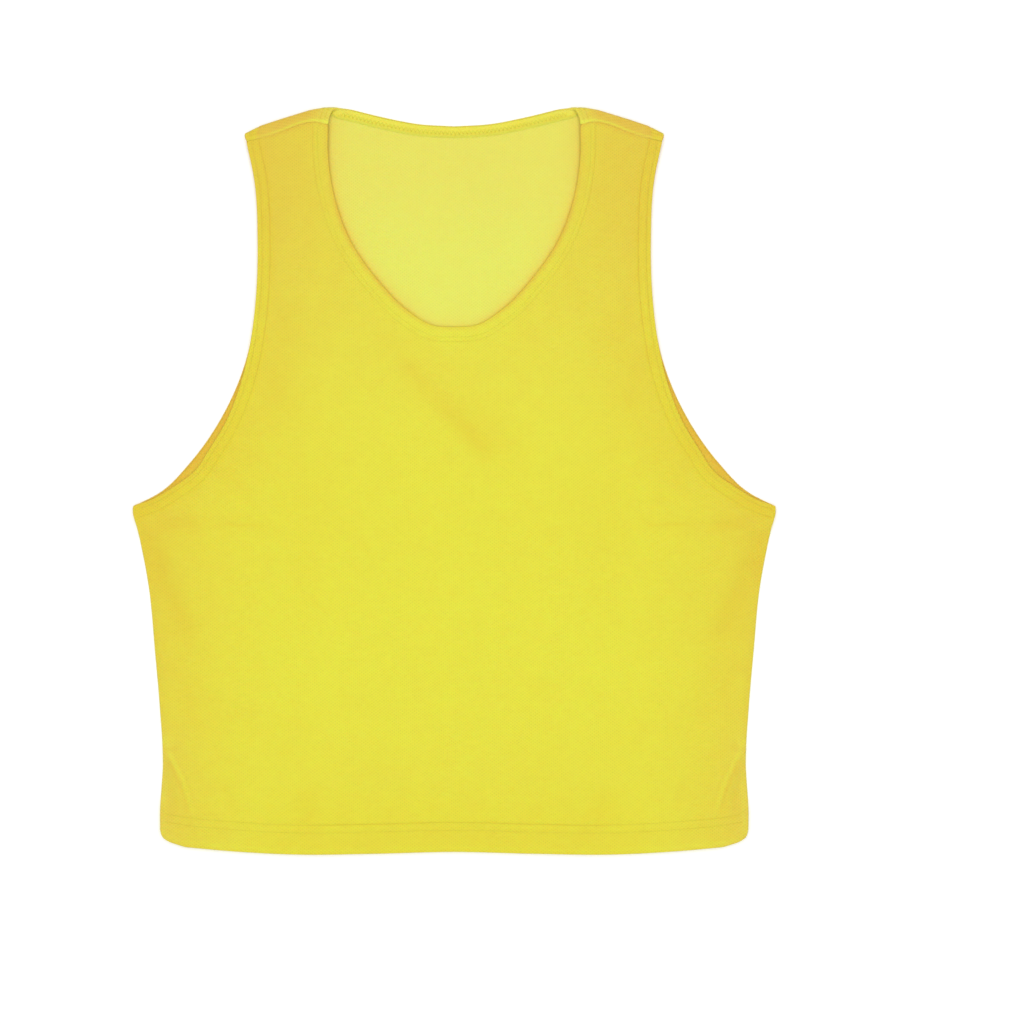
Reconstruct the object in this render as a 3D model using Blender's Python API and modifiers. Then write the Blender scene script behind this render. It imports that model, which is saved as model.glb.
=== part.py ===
"""Training bib of polyester mesh, laid flat with its front up.

Two panels lie on each other: the back on the ground, the front on the back. They meet at the sides, and
the back comes over the shoulder folds to the shoulder seams on the front. Each edge is turned to the inside
as a hem, a second layer of cloth under or over its panel. X runs across the bib, Y up to the shoulders.
"""

import math
from collections import namedtuple

import bpy
import numpy as np
from mathutils import Vector
from mathutils.geometry import delaunay_2d_cdt

METRE = 1000.0  # the sizes below are millimetres, and the meshes are metres

# Driving sizes
LENGTH = 550.0  # lowest point of the bottom hem to the top of the shoulder folds
WALL = 1.0  # each layer of cloth
GAP = 0.3  # between layers, and between panels at their seams
BOTTOM_HEM = 21.0  # depths of the turned hems
ARMHOLE_HEM = 10.0
FRONT_NECK_HEM = 11.0
BACK_NECK_HEM = 8.5
CELL = 16.0  # distance between the points inside a panel
NARROW_FOLD = 10.0  # a fold of this half width or less gets closer points

# How far the front is above the lowest place it can have, which is GAP over the back
LOFT = 2.2  # in the open middle
HEM_LOFT = 2.8  # over the two turned hems at the armholes and the bottom
NECK_LOFT = 1.35  # over its own neck hem alone
SHOULDER_LOFT = 3.2  # at the shoulder seams
SIDE_ROLL = 9.0  # the distance over which the front comes down to the side seams
EASE_BY_HEM = 14.0  # the distance over which it comes down beside a hem
EASE_BY_NECK = 34.0
FOLD_FADE = 16.0  # the distance from a hem over which its folds begin
# Heights over the bottom hem's edge, from the first to the second of which the front changes its loft
SHOULDER_RISE = (485.0, 526.0)
SIDE_ABOVE_HEM = (29.0, 47.0)
SIDE_BELOW_ARMHOLE = (225.0, 243.0)
LAYER = WALL + GAP
LOWEST = WALL / 2 + LAYER  # height of the middle of the front's wall when it lies right on the back
FOLD_RADIUS = (LOWEST + SHOULDER_LOFT - WALL / 2) / 2  # of the middle of the back's wall at a shoulder fold
TURN_LENGTH = math.pi * FOLD_RADIUS
FOLD_STEPS = 6
FOLD_ROWS = np.linspace(0, TURN_LENGTH, FOLD_STEPS + 1)

# Outlines of the right half, through these places
Place = namedtuple("Place", "across up")
BOTTOM_EDGE = [
    Place(0.0, 2.1),
    Place(60.0, 0.7),
    Place(113.5, 0.1),
    Place(172.0, 3.2),
    Place(197.8, 5.6),
]
BOTTOM_CORNER = [
    Place(197.8, 5.6),
    Place(204.2, 7.6),
    Place(210.6, 10.0),
    Place(214.4, 12.8),
    Place(216.4, 18.7),
]
BOTTOM_HEM_TOP = [
    Place(0.0, 2.1 + BOTTOM_HEM),
    Place(60.0, 0.7 + BOTTOM_HEM),
    Place(113.5, BOTTOM_HEM),
    Place(172.0, 2.6 + BOTTOM_HEM),
    Place(220.0, 7.6 + BOTTOM_HEM),
]
SIDE = [
    Place(216.4, 18.7),
    Place(216.4, 33.0),
    Place(214.5, 69.0),
    Place(216.6, 106.3),
    Place(220.4, 150.4),
    Place(224.6, 194.6),
    Place(233.0, 238.8),
    Place(236.5, 254.2),
    Place(236.3, 256.4),
]
BACK_ARMHOLE = [
    Place(236.3, 256.4),
    Place(231.3, 258.6),
    Place(216.5, 266.4),
    Place(194.5, 288.2),
    Place(172.4, 319.6),
    Place(153.3, 363.9),
    Place(145.9, 408.0),
    Place(144.5, 452.2),
    Place(147.0, 496.4),
    Place(153.2, 525.8),
]
FRONT_ARMHOLE = [
    Place(236.3, 256.4),
    Place(223.9, 260.6),
    Place(204.8, 271.6),
    Place(190.4, 282.6),
    Place(180.0, 298.2),
    Place(169.7, 314.9),
    Place(155.3, 352.1),
    Place(149.3, 380.0),
    Place(145.9, 408.0),
    Place(144.5, 452.2),
    Place(147.0, 496.4),
    Place(152.8, 524.3),
]
SHOULDER_SEAM = [
    Place(152.8, 524.3),
    Place(137.8, 528.8),
    Place(127.5, 532.4),
    Place(113.0, 538.0),
    Place(103.6, 539.9),
    Place(92.9, 537.8),
]
SHOULDER_FOLD = [
    Place(154.1, 530.6),
    Place(142.9, 536.3),
    Place(128.2, 541.2),
    Place(106.1, 548.0),
    Place(95.0, 550.0),
    Place(70.0, 550.0),
]
FRONT_NECK = [
    Place(0.0, 388.2),
    Place(15.6, 389.4),
    Place(34.7, 400.7),
    Place(56.4, 422.8),
    Place(76.7, 452.2),
    Place(87.7, 481.7),
    Place(92.9, 515.0),
    Place(92.9, 537.8),
]
BACK_NECK = [
    Place(0.0, 535.9),
    Place(25.2, 537.4),
    Place(54.6, 543.0),
    Place(78.0, 548.8),
]
FOLD_TOP_AT_NECK = 86.0  # across, where the neck edge is at the top of the shoulder fold

# Folds of the front: soft ridges and troughs, each along a straight line, on one or both halves
Fold = namedtuple("Fold", "across up to_across to_up half_width rise halves")
BOTH, RIGHT, LEFT = (1, -1), (1,), (-1,)
FOLDS = [
    Fold(226, 228, 198, 169, 13, -1.5, BOTH),
    Fold(198, 169, 176, 99, 17, -1.1, BOTH),
    Fold(203, 215, 172, 120, 15, 0.9, BOTH),
    Fold(213, 78, 198, 42, 8, 1.3, BOTH),
    Fold(198, 42, 191, 30, 7, 1.0, BOTH),
    Fold(211, 64, 207, 34, 7, -1.2, BOTH),
    Fold(214, 243, 142, 243, 9, -0.7, BOTH),
    Fold(86, 458, 66, 427, 8, 0.8, BOTH),
    Fold(-44, 375, 37, 305, 22, -1.0, RIGHT),
]

CLOTH_COLOUR = (0.79, 0.75, 0.06, 1.0)
INSIDE_COLOUR = (0.83, 0.80, 0.14, 1.0)
HEM_COLOUR = (0.78, 0.70, 0.07, 1.0)


# Lines in the plane of the flat panels


def smooth_line(places, spacing, halves=RIGHT):
    """Evenly spaced points on a smooth curve through the places, or through both halves' places."""
    places = np.array(places, float)
    if halves == BOTH:
        places = np.vstack([places[:0:-1] * (-1, 1), places])
    along = lengths_along(places)
    slopes = np.gradient(places, along, axis=0)
    fine = []
    for i in range(len(places) - 1):
        step = along[i + 1] - along[i]
        for t in np.arange(0, 1, 0.05):
            fine.append(
                (2 * t**3 - 3 * t**2 + 1) * places[i]
                + (t**3 - 2 * t**2 + t) * step * slopes[i]
                + (3 * t**2 - 2 * t**3) * places[i + 1]
                + (t**3 - t**2) * step * slopes[i + 1]
            )
    fine.append(places[-1])
    return evenly_spaced(np.array(fine), spacing)


def lengths_along(line):
    steps = np.linalg.norm(np.diff(line, axis=0), axis=1)
    return np.concatenate([[0.0], np.cumsum(steps)])


def evenly_spaced(line, spacing):
    along = lengths_along(line)
    count = max(2, round(along[-1] / spacing) + 1)
    at = np.linspace(0, along[-1], count)
    return np.stack([np.interp(at, along, line[:, k]) for k in range(2)], axis=1)


def mirrored(line):
    return line[::-1] * (-1, 1)


def moved_left(line, distance, overrun=3.0):
    """The line moved to its left, with its ends run on so that they cross the panel's outline."""
    along = np.gradient(line, axis=0)
    along /= np.linalg.norm(along, axis=1)[:, None]
    moved = line + distance * np.stack([-along[:, 1], along[:, 0]], axis=1)
    return np.vstack([moved[0] - overrun * along[0], moved, moved[-1] + overrun * along[-1]])


def distance_to(line, points):
    """How far each point is from the line."""
    nearest = np.full(len(points), np.inf)
    for start, end in zip(line, line[1:]):
        run = end - start
        share = np.clip(((points - start) @ run) / (run @ run), 0, 1)
        offset = points - start - share[:, None] * run
        nearest = np.minimum(nearest, np.linalg.norm(offset, axis=1))
    return nearest


def is_inside(ring, points):
    """Whether each point is inside the closed outline."""
    inside = np.zeros(len(points), bool)
    x, y = points.T
    for start, end in zip(ring, np.roll(ring, -1, axis=0)):
        if start[1] == end[1]:
            continue
        crosses = (start[1] > y) != (end[1] > y)
        at = start[0] + (y - start[1]) / (end[1] - start[1]) * (end[0] - start[0])
        inside ^= crosses & (x < at)
    return inside


def smooth_step(low, high, value):
    share = np.clip((value - low) / (high - low), 0, 1)
    return share * share * (3 - 2 * share)


# Edges that both panels share, and the seam between them

corner = smooth_line(BOTTOM_CORNER, 4.0)
bottom = np.vstack([mirrored(corner)[:-1], smooth_line(BOTTOM_EDGE, 12.0, BOTH), corner[1:]])
bottom_hem_top = smooth_line(BOTTOM_HEM_TOP, 12.0, BOTH)
side = smooth_line(SIDE, 12.0)
shoulder_seam = smooth_line(SHOULDER_SEAM, 8.0)


def fold_start(across):
    """How far up the back's cloth begins to turn over the shoulder fold."""
    fold = np.array(SHOULDER_FOLD)[::-1]
    return np.interp(np.abs(across), fold[:, 0], fold[:, 1]) - FOLD_RADIUS - WALL / 2


def wrapped_end(across):
    """How far up the back's cloth ends when it is spread flat, with its shoulder folds opened."""
    seam = shoulder_seam[::-1]
    seam_up = np.interp(across, seam[:, 0], seam[:, 1]) + GAP
    return 2 * fold_start(across) - seam_up + TURN_LENGTH


def stepped_at_fold(line):
    """The line with its points in the turn over the fold moved to where it crosses the fold's rows."""
    past = line[:, 1] - fold_start(line[:, 0])
    rising = np.argmax(past > 0) - 1
    crossings = np.interp(FOLD_ROWS, past[rising:], line[rising:, 0])
    steps = np.column_stack([crossings, fold_start(crossings) + FOLD_ROWS])
    clear = TURN_LENGTH / FOLD_STEPS
    return np.vstack([line[past < -clear], steps, line[past > TURN_LENGTH + clear]])


def fold_rows(lines):
    """Rows of points across the straps of the back's cloth, at each step of the turn over the fold."""
    neck_edge, neck_hem, armhole_hem, armhole_edge = (crossing_points(line) for line in lines)
    for near, near_hem, far_hem, far in zip(neck_edge, neck_hem, armhole_hem, armhole_edge):
        across = np.concatenate([[near[0]], np.linspace(near_hem[0], far_hem[0], 7), [far[0]]])
        up = fold_start(across) + near[1] - fold_start(near[0])
        row = np.column_stack([across, up])
        yield row
        yield mirrored(row)


def crossing_points(line):
    past = line[:, 1] - fold_start(line[:, 0])
    return line[(past > -1e-6) & (past < TURN_LENGTH + 1e-6)]


def front_edges():
    neck = smooth_line(FRONT_NECK, 9.0, BOTH)[::-1]
    armhole = smooth_line(FRONT_ARMHOLE, 9.0)
    return {
        "bottom": bottom,
        "side": side,
        "armhole": armhole,
        "shoulder": shoulder_seam,
        "neck": neck,
        "armhole_hem": moved_left(armhole, ARMHOLE_HEM),
        "neck_hem": moved_left(neck, FRONT_NECK_HEM),
    }


def back_edges():
    """Edges of the back's cloth spread flat, where it goes on above the shoulder folds."""
    outer, inner = SHOULDER_SEAM[0].across, SHOULDER_SEAM[-1].across
    fold_top = fold_start(FOLD_TOP_AT_NECK) + TURN_LENGTH / 2
    over_at_armhole = [Place(154.1, fold_start(154.1)), Place(outer, wrapped_end(outer))]
    over_at_neck = [
        Place(FOLD_TOP_AT_NECK, fold_top),
        Place(inner - 1.5, wrapped_end(inner) - 7.0),
        Place(inner, wrapped_end(inner)),
    ]
    armhole = smooth_line(BACK_ARMHOLE + over_at_armhole, 9.0)
    half_neck = smooth_line(BACK_NECK + over_at_neck, 8.0)
    armhole_hem = stepped_at_fold(moved_left(armhole, ARMHOLE_HEM))
    half_neck_hem = stepped_at_fold(moved_left(half_neck, -BACK_NECK_HEM))
    armhole, half_neck = stepped_at_fold(armhole), stepped_at_fold(half_neck)
    seam_across = shoulder_seam[:, 0]
    return {
        "bottom": bottom,
        "side": side,
        "armhole": armhole,
        "shoulder": np.column_stack([seam_across, wrapped_end(seam_across)]),
        "neck": both_halves(half_neck)[::-1],
        "armhole_hem": armhole_hem,
        "neck_hem": both_halves(half_neck_hem[1:])[::-1],
        "fold_rows": list(fold_rows([half_neck, half_neck_hem, armhole_hem, armhole])),
    }


def both_halves(half):
    """A line from the left half to the right, from its right half that starts at the middle."""
    return np.vstack([mirrored(half)[:-1], half])


# Height of each panel's middle surface over its flat cloth


def fold_lines():
    """Each fold's row, with its start and its run on each half that has it."""
    for fold in FOLDS:
        for half in fold.halves:
            start = np.array((half * fold.across, fold.up), float)
            yield fold, start, np.array((half * fold.to_across, fold.to_up)) - start


def fold_relief(points):
    """How far the folds raise or lower the front: the highest ridge and the deepest trough at each point."""
    ridge, trough = np.zeros(len(points)), np.zeros(len(points))
    for fold, start, run in fold_lines():
        share = np.clip(((points - start) @ run) / (run @ run), 0, 1)
        off_line = np.linalg.norm(points - start - share[:, None] * run, axis=1)
        relief = fold.rise * np.exp(-1.5 * (off_line / fold.half_width) ** 2)
        ridge, trough = np.maximum(ridge, relief), np.minimum(trough, relief)
    return ridge + trough


def front_surface(points, edges):
    """The front, which rises over the hems under it and comes down to the back at the side seams."""
    half = np.column_stack([np.abs(points[:, 0]), points[:, 1]])
    up = points[:, 1]
    past_bottom_hem = up - np.interp(points[:, 0], bottom_hem_top[:, 0], bottom_hem_top[:, 1])
    past_armhole_hem = distance_to(edges["armhole"], half) - ARMHOLE_HEM
    past_neck_hem = distance_to(edges["neck"], points) - FRONT_NECK_HEM
    past_hems = np.minimum(past_bottom_hem, past_armhole_hem)

    loft = HEM_LOFT + (LOFT - HEM_LOFT) * smooth_step(1, EASE_BY_HEM, past_hems)
    loft = NECK_LOFT + (loft - NECK_LOFT) * smooth_step(0, EASE_BY_NECK, past_neck_hem)
    loft += (SHOULDER_LOFT - loft) * smooth_step(*SHOULDER_RISE, up)

    off_hem_ends = smooth_step(*SIDE_ABOVE_HEM, up) - smooth_step(*SIDE_BELOW_ARMHOLE, up)
    loft *= 1 - off_hem_ends * np.exp(-distance_to(side, half) / SIDE_ROLL)
    loft += fold_relief(points) * smooth_step(0, FOLD_FADE, np.minimum(past_hems, past_neck_hem))
    return np.column_stack([points, LOWEST + np.maximum(loft, 0)])


def back_surface(points, edges):
    """The back, flat on the ground, and turned over the shoulder folds down to the seams on the front."""
    start = fold_start(points[:, 0])
    past = np.maximum(points[:, 1] - start, 0)
    turn = np.minimum(past / FOLD_RADIUS, math.pi)
    straight = np.maximum(past - TURN_LENGTH, 0)
    up = np.minimum(points[:, 1], start) + FOLD_RADIUS * np.sin(turn) - straight
    height = WALL / 2 + FOLD_RADIUS * (1 - np.cos(turn))
    return np.column_stack([points[:, 0], up, height])


# Cloth cut flat, then shaped


def inner_points(ring, lines):
    """Staggered rows of points inside the outline, clear of its lines."""
    low, high = ring.min(axis=0), ring.max(axis=0)
    rows = []
    for count, up in enumerate(np.arange(low[1], high[1], CELL * math.sqrt(0.75))):
        first = (count % 2) * CELL / 2
        across = np.arange(first - CELL * math.ceil(high[0] / CELL), high[0], CELL)
        rows.append(np.column_stack([across, np.full(len(across), up)]))
    points = np.vstack(rows)
    points = points[is_inside(ring, points)]
    for line in lines:
        points = points[distance_to(line, points) > 0.55 * CELL]
    return points


def fold_points(ring, lines):
    """Closer points along the narrow folds, so that the cloth can follow them."""
    rows = []
    for fold, start, run in fold_lines():
        if fold.half_width > NARROW_FOLD:
            continue
        length = np.linalg.norm(run)
        beside = np.array((-run[1], run[0])) / length * fold.half_width * 0.8
        share = np.linspace(0, 1, max(2, round(length / fold.half_width)))[:, None]
        rows += [start + share * run + shift * beside for shift in (-1, 0, 1)]
    points = np.vstack(rows)
    points = points[is_inside(ring, points)]
    for line in lines:
        points = points[distance_to(line, points) > 3.0]
    return thinned(points, 4.0)


def thinned(points, spacing, keep_clear_of=None):
    """The points without those that are closer than the spacing to one kept before."""
    kept = [] if keep_clear_of is None else list(keep_clear_of)
    first_new = len(kept)
    for point in points:
        if not kept or np.linalg.norm(np.array(kept) - point, axis=1).min() > spacing:
            kept.append(point)
    return np.array(kept[first_new:]).reshape(-1, 2)


def cut_cloth(edges, hem_lines, with_folds):
    """The flat cloth as points and triangles, with the hem lines among its edges."""
    right = [edges["side"], edges["armhole"], edges["shoulder"]]
    left = [mirrored(line) for line in reversed(right)]
    ring = np.vstack([line[:-1] for line in [edges["bottom"], *right, edges["neck"], *left]])
    lines = [*hem_lines, *edges.get("fold_rows", [])]
    closed = np.vstack([ring, ring[:1]])
    folds = fold_points(ring, [closed, *lines]) if with_folds else np.zeros((0, 2))
    inner = thinned(inner_points(ring, [closed, *lines]), 0.5 * CELL, keep_clear_of=folds)

    points, links = list(ring), []
    for line in lines:
        first = len(points)
        points += list(line)
        links += [(first + i, first + i + 1) for i in range(len(line) - 1)]
    points += [*folds, *inner]
    outline = list(range(len(ring)))
    inside_the_outline = 1
    cut = delaunay_2d_cdt([Vector(p) for p in points], links, [outline], inside_the_outline, 1e-4)
    points, triangles = np.array([tuple(p) for p in cut[0]]), np.array(cut[2])
    used, triangles = np.unique(triangles, return_inverse=True)
    points, triangles = points[used], triangles.reshape(-1, 3)
    corner, second, third = (points[triangles[:, k]] for k in range(3))
    facing = np.cross(second - corner, third - corner)
    triangles[facing < 0] = triangles[facing < 0][:, ::-1]
    return points, triangles


def cloth_material(name, colour, roughness):
    material = bpy.data.materials.new(name)
    material.use_nodes = True
    shader = material.node_tree.nodes["Principled BSDF"]
    shader.inputs["Base Color"].default_value = colour
    shader.inputs["Roughness"].default_value = roughness
    shader.inputs["Metallic"].default_value = 0.0
    return material


def cloth_object(name, surface, triangles, material):
    """One layer of cloth: its middle surface, with the wall given by a Solidify."""
    used, triangles = np.unique(triangles, return_inverse=True)
    places = (surface[used] - (0, LENGTH / 2, 0)) / METRE
    mesh = bpy.data.meshes.new(name)
    mesh.from_pydata(places.tolist(), [], triangles.reshape(-1, 3).tolist())
    mesh.materials.append(material)
    mesh.shade_smooth()
    cloth = bpy.data.objects.new(name, mesh)
    wall = cloth.modifiers.new("Wall", "SOLIDIFY")
    wall.thickness = WALL / METRE
    wall.offset = 0.0
    wall.use_even_offset = True
    bib.objects.link(cloth)
    return cloth


def normals_of(surface, triangles):
    """Unit normals of the surface at its points."""
    corner, second, third = (surface[triangles[:, k]] for k in range(3))
    facing = np.cross(second - corner, third - corner)
    normals = np.zeros_like(surface)
    for k in range(3):
        np.add.at(normals, triangles[:, k], facing)
    return normals / np.linalg.norm(normals, axis=1)[:, None]


def make_panel(name, edges, surface_of, hems, inward, material, with_folds):
    """A panel and its turned hems, which are made from the panel's points moved inward by one layer."""
    points, triangles = cut_cloth(edges, [hem.inner_line for hem in hems], with_folds)
    surface = surface_of(points, edges)
    cloth_object(name, surface, triangles, material)
    turned = surface + inward * LAYER * normals_of(surface, triangles)
    centres = points[triangles].mean(axis=1)
    for hem in hems:
        cloth_object(hem.name, turned, triangles[hem.holds(centres)], hem_material)


Hem = namedtuple("Hem", "name inner_line holds")


def bottom_hem(name):
    def holds(centres):
        return centres[:, 1] < np.interp(centres[:, 0], bottom_hem_top[:, 0], bottom_hem_top[:, 1])

    return Hem(name, bottom_hem_top, holds)


def edge_hem(name, edge, inner_line, depth):
    return Hem(name, inner_line, lambda centres: distance_to(edge, centres) < depth)


def armhole_hems(name, edges):
    edge, inner_line = edges["armhole"], edges["armhole_hem"]
    return [
        edge_hem(name + "_right", edge, inner_line, ARMHOLE_HEM),
        edge_hem(name + "_left", mirrored(edge), mirrored(inner_line), ARMHOLE_HEM),
    ]


for old in list(bpy.data.objects):
    bpy.data.objects.remove(old)
bib = bpy.data.collections.new("Training bib")
bpy.context.scene.collection.children.link(bib)
cloth_outside = cloth_material("Mesh cloth", CLOTH_COLOUR, 0.75)
cloth_inside = cloth_material("Mesh cloth of the back", INSIDE_COLOUR, 0.75)
hem_material = cloth_material("Turned hem", HEM_COLOUR, 0.75)

front = front_edges()
make_panel(
    "front_panel",
    front,
    front_surface,
    [
        bottom_hem("front_bottom_hem"),
        edge_hem("front_neck_hem", front["neck"], front["neck_hem"], FRONT_NECK_HEM),
        *armhole_hems("front_armhole_hem", front),
    ],
    inward=-1,
    material=cloth_outside,
    with_folds=True,
)

back = back_edges()
make_panel(
    "back_panel",
    back,
    back_surface,
    [
        bottom_hem("back_bottom_hem"),
        edge_hem("back_neck_hem", back["neck"], back["neck_hem"], BACK_NECK_HEM),
        *armhole_hems("back_armhole_hem", back),
    ],
    inward=1,
    material=cloth_inside,
    with_folds=False,
)
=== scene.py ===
# Training bib of polyester mesh, laid flat with its front up.
# Table sizes are millimetres on the flat cloth: across from the middle, up from the lowest edge.
import math
from collections import namedtuple

import bpy
import numpy as np
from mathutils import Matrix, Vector, noise
from mathutils.geometry import delaunay_2d_cdt
from mathutils.kdtree import KDTree


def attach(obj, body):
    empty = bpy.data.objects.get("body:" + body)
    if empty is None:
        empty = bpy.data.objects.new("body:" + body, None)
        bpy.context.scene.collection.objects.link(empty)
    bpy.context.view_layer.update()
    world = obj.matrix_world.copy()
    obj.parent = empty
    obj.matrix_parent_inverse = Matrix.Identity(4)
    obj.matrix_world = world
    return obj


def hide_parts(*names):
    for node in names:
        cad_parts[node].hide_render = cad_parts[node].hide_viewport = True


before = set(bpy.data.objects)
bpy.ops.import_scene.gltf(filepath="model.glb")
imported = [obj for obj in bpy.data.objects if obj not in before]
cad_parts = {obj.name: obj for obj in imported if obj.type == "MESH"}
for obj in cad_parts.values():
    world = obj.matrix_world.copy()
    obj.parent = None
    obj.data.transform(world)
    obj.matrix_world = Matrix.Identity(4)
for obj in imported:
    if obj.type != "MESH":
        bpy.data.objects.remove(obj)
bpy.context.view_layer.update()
print("frame loaded:", ", ".join(sorted(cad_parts)))

metre = 1000.0
bib = {
    "length": 550.0,  # lowest point of the bottom hem to the shoulder folds
    "wall": 0.8,  # of the cloth
    "solidWall": 1.0,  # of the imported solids, whose middle surfaces the cloth follows
    "layer": 1.3,  # from the middle of one layer to the middle of the next
    "pressed": 0.86,  # how much closer a hem lies at its raw edge
    "rawWall": 0.08,  # how much of its wall is left there
    "crispEdge": 55.0,  # degrees
    "edgeSteps": 6,  # rows of the rounded turn at each edge
    "cornerEase": 4.5,  # along an edge, over which its turn changes into a seam
    "proud": 0.18,  # how far the cloth stands out of its solid's edge
    "seamDrop": 0.65,  # of the cloth on both sides of a shoulder seam
    "seamTurn": 60.0,  # degrees that it turns down there
    "seamInset": 0.72,  # from the outline to the cloth's edge there
    "outerInset": 0.8,  # the share of that at the armhole
    "seamFade": (118.0, 146.0),  # across, over which that seam flattens out
    "seamFadeBy": 0.85,
    "sideSeamBelow": 300.0,  # up, under which a seam is a side seam
    "mitreLimit": 0.6,
    "pressFrom": 2.5,  # from a hem's inner row toward the edge, where the hem begins to thin
    "hemShift": 0.8,  # of the mesh pattern, from a panel to its hem
}
halfWall = bib["wall"] / 2
turnRadius = bib["layer"] / 2
inset = turnRadius + halfWall - bib["proud"]  # from the outline to where the cloth's edge begins to turn
lowest = bib["solidWall"] / 2 + bib["layer"]  # the front's middle surface, right on the back
restDrop = bib["solidWall"] / 2 - halfWall  # brings the thinner cloth down onto the ground

# Outlines of the right half
bottomEdge = [(0.0, 2.1), (60.0, 0.7), (113.5, 0.1), (172.0, 3.2), (197.8, 5.6)]
bottomCorner = [(197.8, 5.6), (204.2, 7.6), (210.6, 10.0), (214.4, 12.8), (216.4, 18.7)]
sideEdge = [
    (216.4, 18.7), (216.4, 33.0), (214.5, 69.0), (216.6, 106.3), (220.4, 150.4), (224.6, 194.6),
    (233.0, 238.8), (236.5, 254.2), (236.3, 256.4),
]
backArmhole = [
    (236.3, 256.4), (231.3, 258.6), (216.5, 266.4), (194.5, 288.2), (172.4, 319.6), (153.3, 363.9),
    (145.9, 408.0), (144.5, 452.2), (147.0, 496.4), (153.2, 525.8),
]
frontArmhole = [
    (236.3, 256.4), (223.9, 260.6), (204.8, 271.6), (190.4, 282.6), (180.0, 298.2), (169.7, 314.9),
    (155.3, 352.1), (149.3, 380.0), (145.9, 408.0), (144.5, 452.2), (147.0, 496.4), (152.8, 524.3),
]
shoulderSeamPlaces = [
    (152.8, 524.3), (137.8, 527.8), (127.5, 531.2), (113.0, 536.7), (103.6, 538.6), (92.9, 536.8),
]
shoulderFold = [
    (154.1, 530.6), (142.9, 536.3), (128.2, 541.2), (106.1, 548.0), (95.0, 550.0), (70.0, 550.0),
]
frontNeck = [
    (0.0, 388.2), (15.6, 389.4), (34.7, 400.7), (56.4, 422.8), (76.7, 452.2), (87.7, 481.7),
    (92.9, 515.0), (92.9, 536.8),
]
backNeck = [(0.0, 535.9), (25.2, 537.4), (54.6, 543.0), (78.0, 548.8)]
foldTopAtNeck = 86.0

# Rows of stitching at each edge, as distances from it, how far each draws the cloth in, the levels of painted
# groove shade that darken it, how deep the hem is turned, how far it holds the cloth flat, and the levels
# that its turned layer is darker by
HemRows = namedtuple("HemRows", "rows drawn tones depth firm hemTone")
hemRows = {
    "bottom": HemRows((15.9, 21.6), (0.3, 1.0), (0.5, 7.0), 24.0, 21.0, 0.0),
    "armhole": HemRows((3.2, 9.1), (0.1, 0.6), (3.0, 8.0), 11.2, 10.0, 4.0),
    "frontNeck": HemRows((7.5, 10.8), (0.25, 0.6), (0.5, 3.0), 13.2, 11.0, 0.0),
    "backNeck": HemRows((3.0, 6.4), (0.2, 0.55), (3.0, 8.0), 8.5, 9.0, -7.0),
}
grooveHalf = 0.9  # from a row of stitching to each side of its groove


# Lines on the flat cloth


def smoothLine(places, spacing, bothHalves=False):
    places = np.array(places, float)
    if bothHalves:
        places = np.vstack([places[:0:-1] * (-1, 1), places])
    along = lengthsAlong(places)
    slopes = np.gradient(places, along, axis=0)
    fine = []
    for i in range(len(places) - 1):
        step = along[i + 1] - along[i]
        for t in np.arange(0, 1, 0.02):
            fine.append(
                (2 * t**3 - 3 * t**2 + 1) * places[i]
                + (t**3 - 2 * t**2 + t) * step * slopes[i]
                + (3 * t**2 - 2 * t**3) * places[i + 1]
                + (t**3 - t**2) * step * slopes[i + 1]
            )
    fine.append(places[-1])
    return evenlySpaced(np.array(fine), spacing)


def lengthsAlong(line):
    return np.concatenate([[0.0], np.cumsum(np.linalg.norm(np.diff(line, axis=0), axis=1))])


def evenlySpaced(line, spacing):
    along = lengthsAlong(line)
    at = np.linspace(0, along[-1], max(2, round(along[-1] / spacing) + 1))
    return np.stack([np.interp(at, along, line[:, k]) for k in range(line.shape[1])], axis=1)


def mirrored(line):
    return line[::-1] * (-1, 1)


def unit(vectors):
    return vectors / np.maximum(np.linalg.norm(vectors, axis=1), 1e-9)[:, None]


def movedLeft(line, distance):
    along = unit(np.gradient(line, axis=0))
    return line + distance * np.column_stack([-along[:, 1], along[:, 0]])


def distanceTo(line, points):
    nearest = np.full(len(points), np.inf)
    for start, end in zip(line, line[1:]):
        run = end - start
        share = np.clip(((points - start) @ run) / (run @ run), 0, 1)
        offset = points - start - share[:, None] * run
        nearest = np.minimum(nearest, np.einsum("ij,ij->i", offset, offset))
    return np.sqrt(nearest)


def isInside(ring, points):
    inside = np.zeros(len(points), bool)
    x, y = points.T
    for start, end in zip(ring, np.roll(ring, -1, axis=0)):
        if start[1] == end[1]:
            continue
        crosses = (start[1] > y) != (end[1] > y)
        inside ^= crosses & (x < start[0] + (y - start[1]) / (end[1] - start[1]) * (end[0] - start[0]))
    return inside


def after(limits, value):
    # Eases from 0 to 1 between two limits
    share = np.clip((value - limits[0]) / (limits[1] - limits[0]), 0, 1)
    return share * share * (3 - 2 * share)


def until(limits, value):
    return 1 - after(limits, value)


def between(low, high, share):
    return low + (high - low) * share


def fading(distance, reach):
    return np.exp(-distance / reach)


def faded(tone, distance):
    # A tone is its amount and its reach
    return tone[0] * fading(distance, tone[1])


def bell(distance, halfWidth):
    return np.exp(-1.5 * (distance / halfWidth) ** 2)


def belled(tone, distance):
    return tone[0] * bell(distance, tone[1])


def evenNoise(points, size, seed):
    return np.array([noise.noise(Vector((x / size, y / size, seed))) for x, y in points])


def uneven(kind, points):
    # A kind of unevenness is its amount, its size and its seed
    return kind[0] * evenNoise(points, kind[1], kind[2])


def onRightHalf(points):
    return np.column_stack([np.abs(points[:, 0]), points[:, 1]])


# The edges of both panels

fine = 3.0  # between the points of a line that distances are measured from
cell = 2.4  # between the points along a panel's edge and inside it
seamStep = 2.0
cornerStep = 1.5
bottomCornerLine = smoothLine(bottomCorner, cornerStep)


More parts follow.
